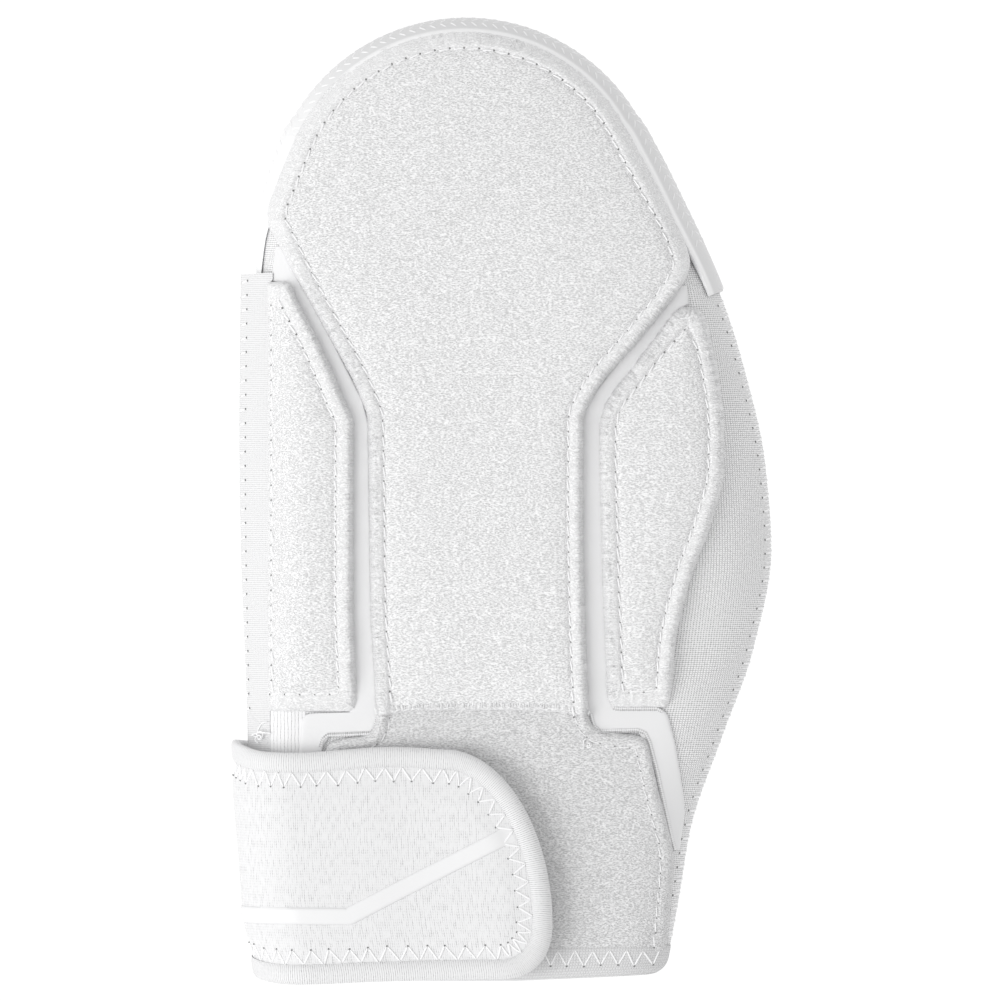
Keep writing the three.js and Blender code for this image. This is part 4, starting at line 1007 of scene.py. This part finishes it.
# Wrist binding
# A hem of fine knit folded over the wrist edge of both walls, all round the mouth, and sewn down with
# a zigzag stitch.
HEM_TOP, HEM_END, HEM_SLOPE = -125, -133.1, 1.6
HEM_WALL, HEM_GAP, HEM_CORNER = 1.0, 0.3, 4.8
HEM_COLUMNS = 200
HEM_DROP_FROM, HEM_DROP_OVER = 44, 39
HEM_STITCH_Y, HEM_STITCH_LEFT, HEM_STITCH_RIGHT = -126.2, 10.5, 52
HEM_STITCH_WIDTH, HEM_STITCH_PITCH, HEM_THREAD, HEM_HOLE = 4.2, 4.75, 0.23, 0.32
HEM_WHITE = (0.75, 0.75, 0.755)


def hem_point(share, offset, y):
    """A point of the hem; share runs once round the mouth, over the front from 0 to 0.5 and back under. Its
    sides lie close to the seam, and its fold drops towards the left."""
    across = (1 - np.cos(2 * np.pi * share)) / 2
    left, right = side_seam(y)
    low = np.clip((HEM_END + HEM_CORNER - y) / HEM_CORNER, 0, 1)
    side = np.where(offset > 0, 0.12 * offset, offset) - HEM_CORNER * (1 - np.sqrt(1 - low**2))
    x = left - side + (right - left + 2 * side) * across
    inset = np.minimum(x - left, right - x)
    point = on_wall(x, y, inset, offset, share <= 0.5)
    leftward = np.clip((HEM_DROP_FROM - x) / HEM_DROP_OVER, 0, 1)
    point[..., 1] -= HEM_SLOPE * leftward * np.clip((HEM_TOP - y) / (HEM_TOP - HEM_END), 0, 1)
    return point


hem_in, hem_out = -BACK_WALL - HEM_GAP - HEM_WALL, HEM_GAP + HEM_WALL
fold = np.linspace(0, np.pi, 25)
middle, half = (hem_out + hem_in) / 2, (hem_out - hem_in) / 2
hem_offset = np.concatenate([
    [HEM_GAP + 0.1, HEM_GAP + 0.7], np.full(5, hem_out), middle + half * np.cos(fold), np.full(5, hem_in),
    [-BACK_WALL - HEM_GAP] * 2, [HEM_GAP] * 2,
])
hem_y = np.concatenate([
    [HEM_TOP, HEM_TOP - 0.1], np.linspace(HEM_TOP - 0.6, HEM_END + half + 0.3, 5),
    HEM_END + half - half * np.sin(fold), np.linspace(HEM_END + half + 0.3, HEM_TOP, 5),
    [HEM_TOP, WRIST - HEM_GAP, WRIST - HEM_GAP, HEM_TOP - 0.2],
])
share = np.linspace(0, 1, HEM_COLUMNS, endpoint=False)[:, None] + np.zeros(len(hem_y))
ring = hem_point(share, hem_offset + 0 * share, hem_y + 0 * share)
faces = cells(*ring.shape[:2], loop_rows=True, loop_columns=True)
around = lengths(ring[:, 4])[:, None] + np.zeros(len(hem_y))
weave = np.stack([around, hem_y + 0 * share, 0 * share], -1).reshape(-1, 3)
hem_knit = knit("hem_knit", HEM_WHITE, wale=0.8, course=0.7, depth=0.1, dark=0.82)
hem = piece("wrist_hem", ring.reshape(-1, 3), faces, hem_knit, "knit", ["wrist_binding"], weave)


def zigzag(path, inward, narrow, wide, pitch, point, bow=0.1):
    """Lines of a zigzag stitch along a path: legs between the narrow and the wide inset by turns, half a
    pitch on each time, with uneven holes, bowed up a little between them. The pitch is one number, or one
    at each point of the path. point gives the place above the cloth."""
    rng = np.random.default_rng(41)
    along = lengths(path)
    steps = np.diff(along) * 2 / np.broadcast_to(pitch, along.shape)[1:]
    count = np.concatenate([[0], np.cumsum(steps)])
    place = np.interp(np.arange(0.4, count[-1] - 2), count, along)
    t = np.linspace(0, 1, 7)
    hole = np.where(np.arange(len(place)) % 2 == 0, narrow, wide) + rng.normal(0, 0.16, len(place))
    place = place + rng.normal(0, 0.22, len(place))
    where = place[:-1, None] + np.diff(place)[:, None] * t
    deep = hole[:-1, None] + np.diff(hole)[:, None] * t
    flat = at_lengths(path, where) + at_lengths(path, where, inward) * deep[..., None]
    return point(flat[..., 0], flat[..., 1], deep) + np.stack([0 * t, 0 * t, bow * np.sin(np.pi * t)], -1)


def hem_top(x, y, deep):
    """A point on the outside of the hem's front."""
    return on_front(x, y, hem_out + 0.06)


hem_x = np.arange(HEM_STITCH_LEFT, HEM_STITCH_RIGHT, 1.0)
hem_path = np.stack([hem_x, np.full(hem_x.shape, HEM_STITCH_Y)], 1)
downward = np.array([(0, -1)] * len(hem_x))
legs = zigzag(hem_path, downward, 0, HEM_STITCH_WIDTH, HEM_STITCH_PITCH, hem_top)
sewn("hem", "zigzag", legs, legs[1::2, 0], HEM_THREAD, HEM_HOLE, "knit")

# Wrist strap
# A strap of fine white jersey over foam. It is sewn under the wrist, comes round the left side and is
# held down on the pile by its round free end.
STRAP_TOP = np.array([
    (-54, -69.6), (-27, -67.4), (-17, -68.9), (-8, -70.4), (0, -70.6), (28, -68.9), (42.8, -69.6),
]).T
STRAP_BOTTOM = np.array([(-27, -133.6), (-5, -135.6), (21, -134.6), (49, -133.9)]).T
STRAP_TURN = np.array([
    (-135.6, -69.4), (-129, -70.3), (-115, -72.5), (-101, -73.6), (-84, -75), (-69, -75.9),
]).T
STRAP_END_X, STRAP_END_Y = 14.5, -118
STRAP_BACK_END = 34
STRAP_LIFT_FRONT, STRAP_END_LIFT, STRAP_LIFT_BACK = 5.6, 3.4, 2.6
STRAP_LIFT_FROM, STRAP_LIFT_OVER = 28, 40
STRAP_HALF, STRAP_PUFF, STRAP_HOOKS, STRAP_TRIM = 0.9, 0.9, 2.8, 0.8
HOOKS_INSET, HOOKS_END_INSET = 6, 8
BINDING_OUT = 1.7
TURN_LENGTH, TURN_ROUND = 54, 11
STRAP_WHITE = (0.8, 0.8, 0.805)


def lifted(along):
    """Share of the free end's lift at a length along the strap: a smoothstep."""
    return smooth((along - STRAP_LIFT_FROM) / STRAP_LIFT_OVER)


def strap_face(inset):
    """Height of the strap's outside over its middle: half the edge's thickness, and a puff further in."""
    return STRAP_HALF + STRAP_PUFF * smooth((inset - 5) / 9)


def strap_point(along, y, offset):
    """A point of the unrolled strap: along is the length past its turn round the left side, with the front
    from 0 up, the turn down to -TURN_LENGTH and the back below that. It lies offset above the strap's
    middle, which runs at a set lift over both walls, further out round the turn and higher at the free
    end."""
    left, right = side_seam(y)
    front = along > -TURN_LENGTH / 2
    share = np.clip(np.abs(along + TURN_LENGTH / 2) / (TURN_LENGTH / 2), 0, 1)
    width = np.where(front, TURN_ROUND, BACK_ROUND)
    side_lift = left - through(*STRAP_TURN, y) - BINDING_OUT
    flat_lift = np.where(front, STRAP_LIFT_FRONT + STRAP_END_LIFT * lifted(along), STRAP_LIFT_BACK)
    lift = side_lift + (flat_lift - side_lift) * smooth(share) + offset
    inset = (width + lift) * (1 - np.cos(share * np.pi / 2)) - lift
    past = np.maximum(along, 0) + np.maximum(-TURN_LENGTH - along, 0)
    x = left + inset + past
    front_inset = np.minimum(inset + past, np.maximum(right - x, 0))
    z = np.where(front, front_height(x, y, front_inset, lift, TURN_ROUND), back_height(x, y, inset, lift))
    return np.stack([x, y, z], -1)


def along_at(x, y):
    """Length along the unrolled strap of a plan point on the front."""
    return x - side_seam(y)[0] - TURN_ROUND


def strap_edge(upper, back, turn, front, end):
    """One edge of the unrolled strap as (along, y): its table from the sewn end to the free one, whose
    corner is a superellipse quarter. The numbers are the points given to each stretch."""
    reach, power, table = (29.8, 1.95, STRAP_TOP) if upper else (15.7, 2.4, STRAP_BOTTOM)
    corner_y = table[1, -1]
    start = -TURN_LENGTH - (STRAP_BACK_END - side_seam(STRAP_END_Y)[0] - BACK_ROUND)
    corner = along_at(STRAP_END_X - reach, corner_y)
    along = np.concatenate([
        np.linspace(start, -TURN_LENGTH, back, endpoint=False),
        np.linspace(-TURN_LENGTH, 0, turn, endpoint=False), np.linspace(0, corner, front, endpoint=False),
    ])
    y = through(*table, along)
    angle = np.linspace(np.pi / 2, 0, end)
    round_x = STRAP_END_X - reach + reach * np.cos(angle) ** (2 / power)
    round_y = STRAP_END_Y + (corner_y - STRAP_END_Y) * np.sin(angle) ** (2 / power)
    return np.concatenate([np.stack([along, y], 1), np.stack([along_at(round_x, round_y), round_y], 1)])


strap_knit = knit("strap_knit", STRAP_WHITE, wale=0.6, course=0.75, depth=0.09, dark=0.66, gap=0.3,
                  ribs=0.5, fuzz=1.0, stretch=4.0)
upper, lower = (strap_edge(up, 60, 40, 50, 60) for up in (True, False))
strap_outline = np.concatenate([upper, lower[-2::-1]])
flat = upper[:, None] + (lower - upper)[:, None] * crowded(70)[None, :, None]
inset = nearest(strap_outline, flat[..., 0], flat[..., 1])[0]
half_width = np.maximum(np.abs(upper - lower).max(1) / 2, 1)
trim = np.clip(STRAP_TRIM / half_width, 0, 1)[:, None, None]
trimmed = flat + (flat.mean(1, keepdims=True) - flat) * trim
along, y = trimmed[..., 0], trimmed[..., 1]
outer = strap_point(along, y, strap_face(inset))
hooks = STRAP_HOOKS + STRAP_END_LIFT * lifted(along)
free = HOOKS_INSET + HOOKS_END_INSET * lifted(along)
hooks *= smooth(1 + along / 12) * smooth((inset - free) / 3)
inner = strap_point(along, y, -STRAP_HALF - hooks)
weave = np.concatenate([np.stack([along, y, 0 * y], -1).reshape(-1, 3)] * 2)
wrist_strap = piece("wrist_strap_jersey", *plate(outer, inner), strap_knit, "strap_knit", ["wrist_strap"],
                    weave)

# Strap binding
# The strap's edge is bound in a rolled strip of the same jersey, drawn tight so that fine ribs run
# across it, and a zigzag stitch holds its inner edge down.
BINDING_WIDTH = 5.8
BINDING_RISE, BINDING_DROP = 2.4, 1.7
BINDING_SECTION = 17
BINDING_WHITE = (0.82, 0.82, 0.825)
ZIGZAG_NARROW, ZIGZAG_WIDE, ZIGZAG_THREAD, ZIGZAG_HOLE = 5.5, 9.7, 0.25, 0.28
ZIGZAG_TURN, ZIGZAG_UPPER, ZIGZAG_LOWER = 3.4, 5.6, 5.4
STRAP_MIDDLE_Y = -100
even = np.arange(0, lengths(strap_outline)[-1], 0.6)
binding_path = at_lengths(strap_outline, even)
binding_in = -left_of(binding_path)
roll = np.linspace(-0.86 * np.pi, 0.86 * np.pi, BINDING_SECTION)
section_inset = np.concatenate([BINDING_WIDTH / 2 * (1 - np.cos(roll)), [5.2, 0.72, 0.72, 5.2]])
flat = binding_path[:, None] + binding_in[:, None] * section_inset[None, :, None]
turned = 1 - smooth((np.abs(binding_path[:, :1] + TURN_LENGTH / 2) - 6) / 16)
rise = np.where(roll > 0, BINDING_RISE * (1 - 0.75 * turned), BINDING_DROP) * np.sin(roll)
rise = rise + turned * smooth(roll / 1.2 + 0.5)
section_offset = np.hstack([rise, np.tile([1.0, 1.0, -1.0, -1.0], (len(even), 1))])
ring = strap_point(flat[..., 0], flat[..., 1], section_offset)
rows, columns = ring.shape[:2]
first = np.arange(columns)
faces = [*cells(rows, columns, loop_columns=True), first, first + (rows - 1) * columns]
weave = np.stack([*np.meshgrid(even, section_inset, indexing="ij"), 0 * flat[..., 0]], -1).reshape(-1, 3)
binding_knit = knit("binding_knit", BINDING_WHITE, wale=0.62, course=1.4, depth=0.15, dark=0.62, slant=0.1,
                    ribs=0.15, fuzz=0.5)
binding = piece("strap_binding_roll", ring.reshape(-1, 3), faces, binding_knit, "strap_knit",
                ["strap_binding"], weave)


def strap_top(along, y, deep):
    """A point on the strap's outside at a depth in from its edge: on the binding's half ellipse, then on
    the jersey."""
    aside = (deep - BINDING_WIDTH / 2) / (BINDING_WIDTH / 2)
    roll_top = BINDING_RISE * np.sqrt(np.maximum(0, 1 - aside**2))
    return strap_point(along, y, np.maximum(roll_top, strap_face(deep)) + 0.04)


upper_pitch = np.interp(binding_path[:, 0], [-6, 14], [ZIGZAG_TURN, ZIGZAG_UPPER])
pitch = np.where(binding_path[:, 1] > STRAP_MIDDLE_Y, upper_pitch, ZIGZAG_LOWER)
legs = zigzag(binding_path, binding_in, ZIGZAG_NARROW, ZIGZAG_WIDE, pitch, strap_top, bow=0.05)
sewn("strap", "zigzag", legs, legs[1::2, 0], ZIGZAG_THREAD, ZIGZAG_HOLE, "strap_knit", lift=0.02)

# Strap stripe
# A stripe of the same smooth film as the channels', bonded on the strap's jersey. It runs level from the
# turn round the left side, then rises in a straight line to the free end.
STRIPE_WIDTH, STRIPE_RISE = 4.7, 0.4
STRIPE_PLAN = np.array([(-42.3, -116.3), (3.2, -92.9)])
bend, tip = (np.array([along_at(*spot), spot[1]]) for spot in STRIPE_PLAN)
path = np.concatenate([
    np.stack([np.linspace(-TURN_LENGTH / 2, bend[0], 60), np.full(60, bend[1])], 1)[:-1],
    bend + (tip - bend) * np.linspace(0, 1, 60)[:, None],
])
across = np.linspace(-0.5, 0.5, 11) * STRIPE_WIDTH
flat = path[:, None] + left_of(path)[:, None] * across[None, :, None]
deep = nearest(strap_outline, flat[..., 0], flat[..., 1])[0]
seat = strap_face(deep) + 0.02
rounded = 0.2 + 0.8 * swell((STRIPE_WIDTH / 2 - np.abs(across)) / 0.4)
rise = STRIPE_RISE * rounded * (0.1 + 0.9 * smooth((deep - 8) / 3))
outer = strap_point(flat[..., 0], flat[..., 1], seat + rise)
inner = strap_point(flat[..., 0], flat[..., 1], seat)
piece("strap_stripe_film", *plate(outer, inner), film_white, "film", ["strap_stripe"])

# Studio
# A white floor that glows enough to stay white, in an even white room, with one broad soft light from the
# lower left. A long lens looks straight down on the mitt.
FLOOR_HALF, FLOOR_GLOW, ROOM_GLOW = 3.0, 1.03, 0.75
KEY_PLACE, KEY_SIZE, KEY_POWER = (-1.25, -0.5, 1.4), 1.3, 18.5
CAMERA_HEIGHT, CAMERA_Y, PICTURE_WIDTH, PICTURE_LEVEL = 3.0, -0.00014, 0.28028, 0.03
SENSOR_WIDTH = 36
corners = [(x * FLOOR_HALF, y * FLOOR_HALF, 0) for x, y in ((-1, -1), (1, -1), (1, 1), (-1, 1))]
floor_mesh = bpy.data.meshes.new("floor")
floor_mesh.from_pydata(corners, [], [(0, 1, 2, 3)])
floor = bpy.data.objects.new("floor", floor_mesh)
floor_white, tree, shader = finish_of("floor_white", (0.03, 0.03, 0.03), 0.9, specular=0.0)
shader.inputs["Emission Color"].default_value = (1, 1, 1, 1)
shader.inputs["Emission Strength"].default_value = FLOOR_GLOW
floor_mesh.materials.append(floor_white)
bpy.context.collection.objects.link(floor)

lamp = bpy.data.lights.new("key", "AREA")
lamp.size, lamp.energy = KEY_SIZE, KEY_POWER
key = bpy.data.objects.new("key", lamp)
key.location = KEY_PLACE
key.rotation_euler = (-key.location).to_track_quat("-Z", "Y").to_euler()
bpy.context.collection.objects.link(key)
world = bpy.data.worlds.new("studio")
world.use_nodes = True
world.node_tree.nodes["Background"].inputs["Color"].default_value = (1, 1, 1, 1)
world.node_tree.nodes["Background"].inputs["Strength"].default_value = ROOM_GLOW
bpy.context.scene.world = world
bpy.context.scene.view_settings.view_transform = "Standard"

camera = bpy.data.objects.new("camera", bpy.data.cameras.new("camera"))
camera.location = (0, CAMERA_Y, CAMERA_HEIGHT)
camera.data.sensor_width = SENSOR_WIDTH
camera.data.lens = SENSOR_WIDTH * (CAMERA_HEIGHT - PICTURE_LEVEL) / PICTURE_WIDTH
bpy.context.collection.objects.link(camera)
bpy.context.scene.camera = camera
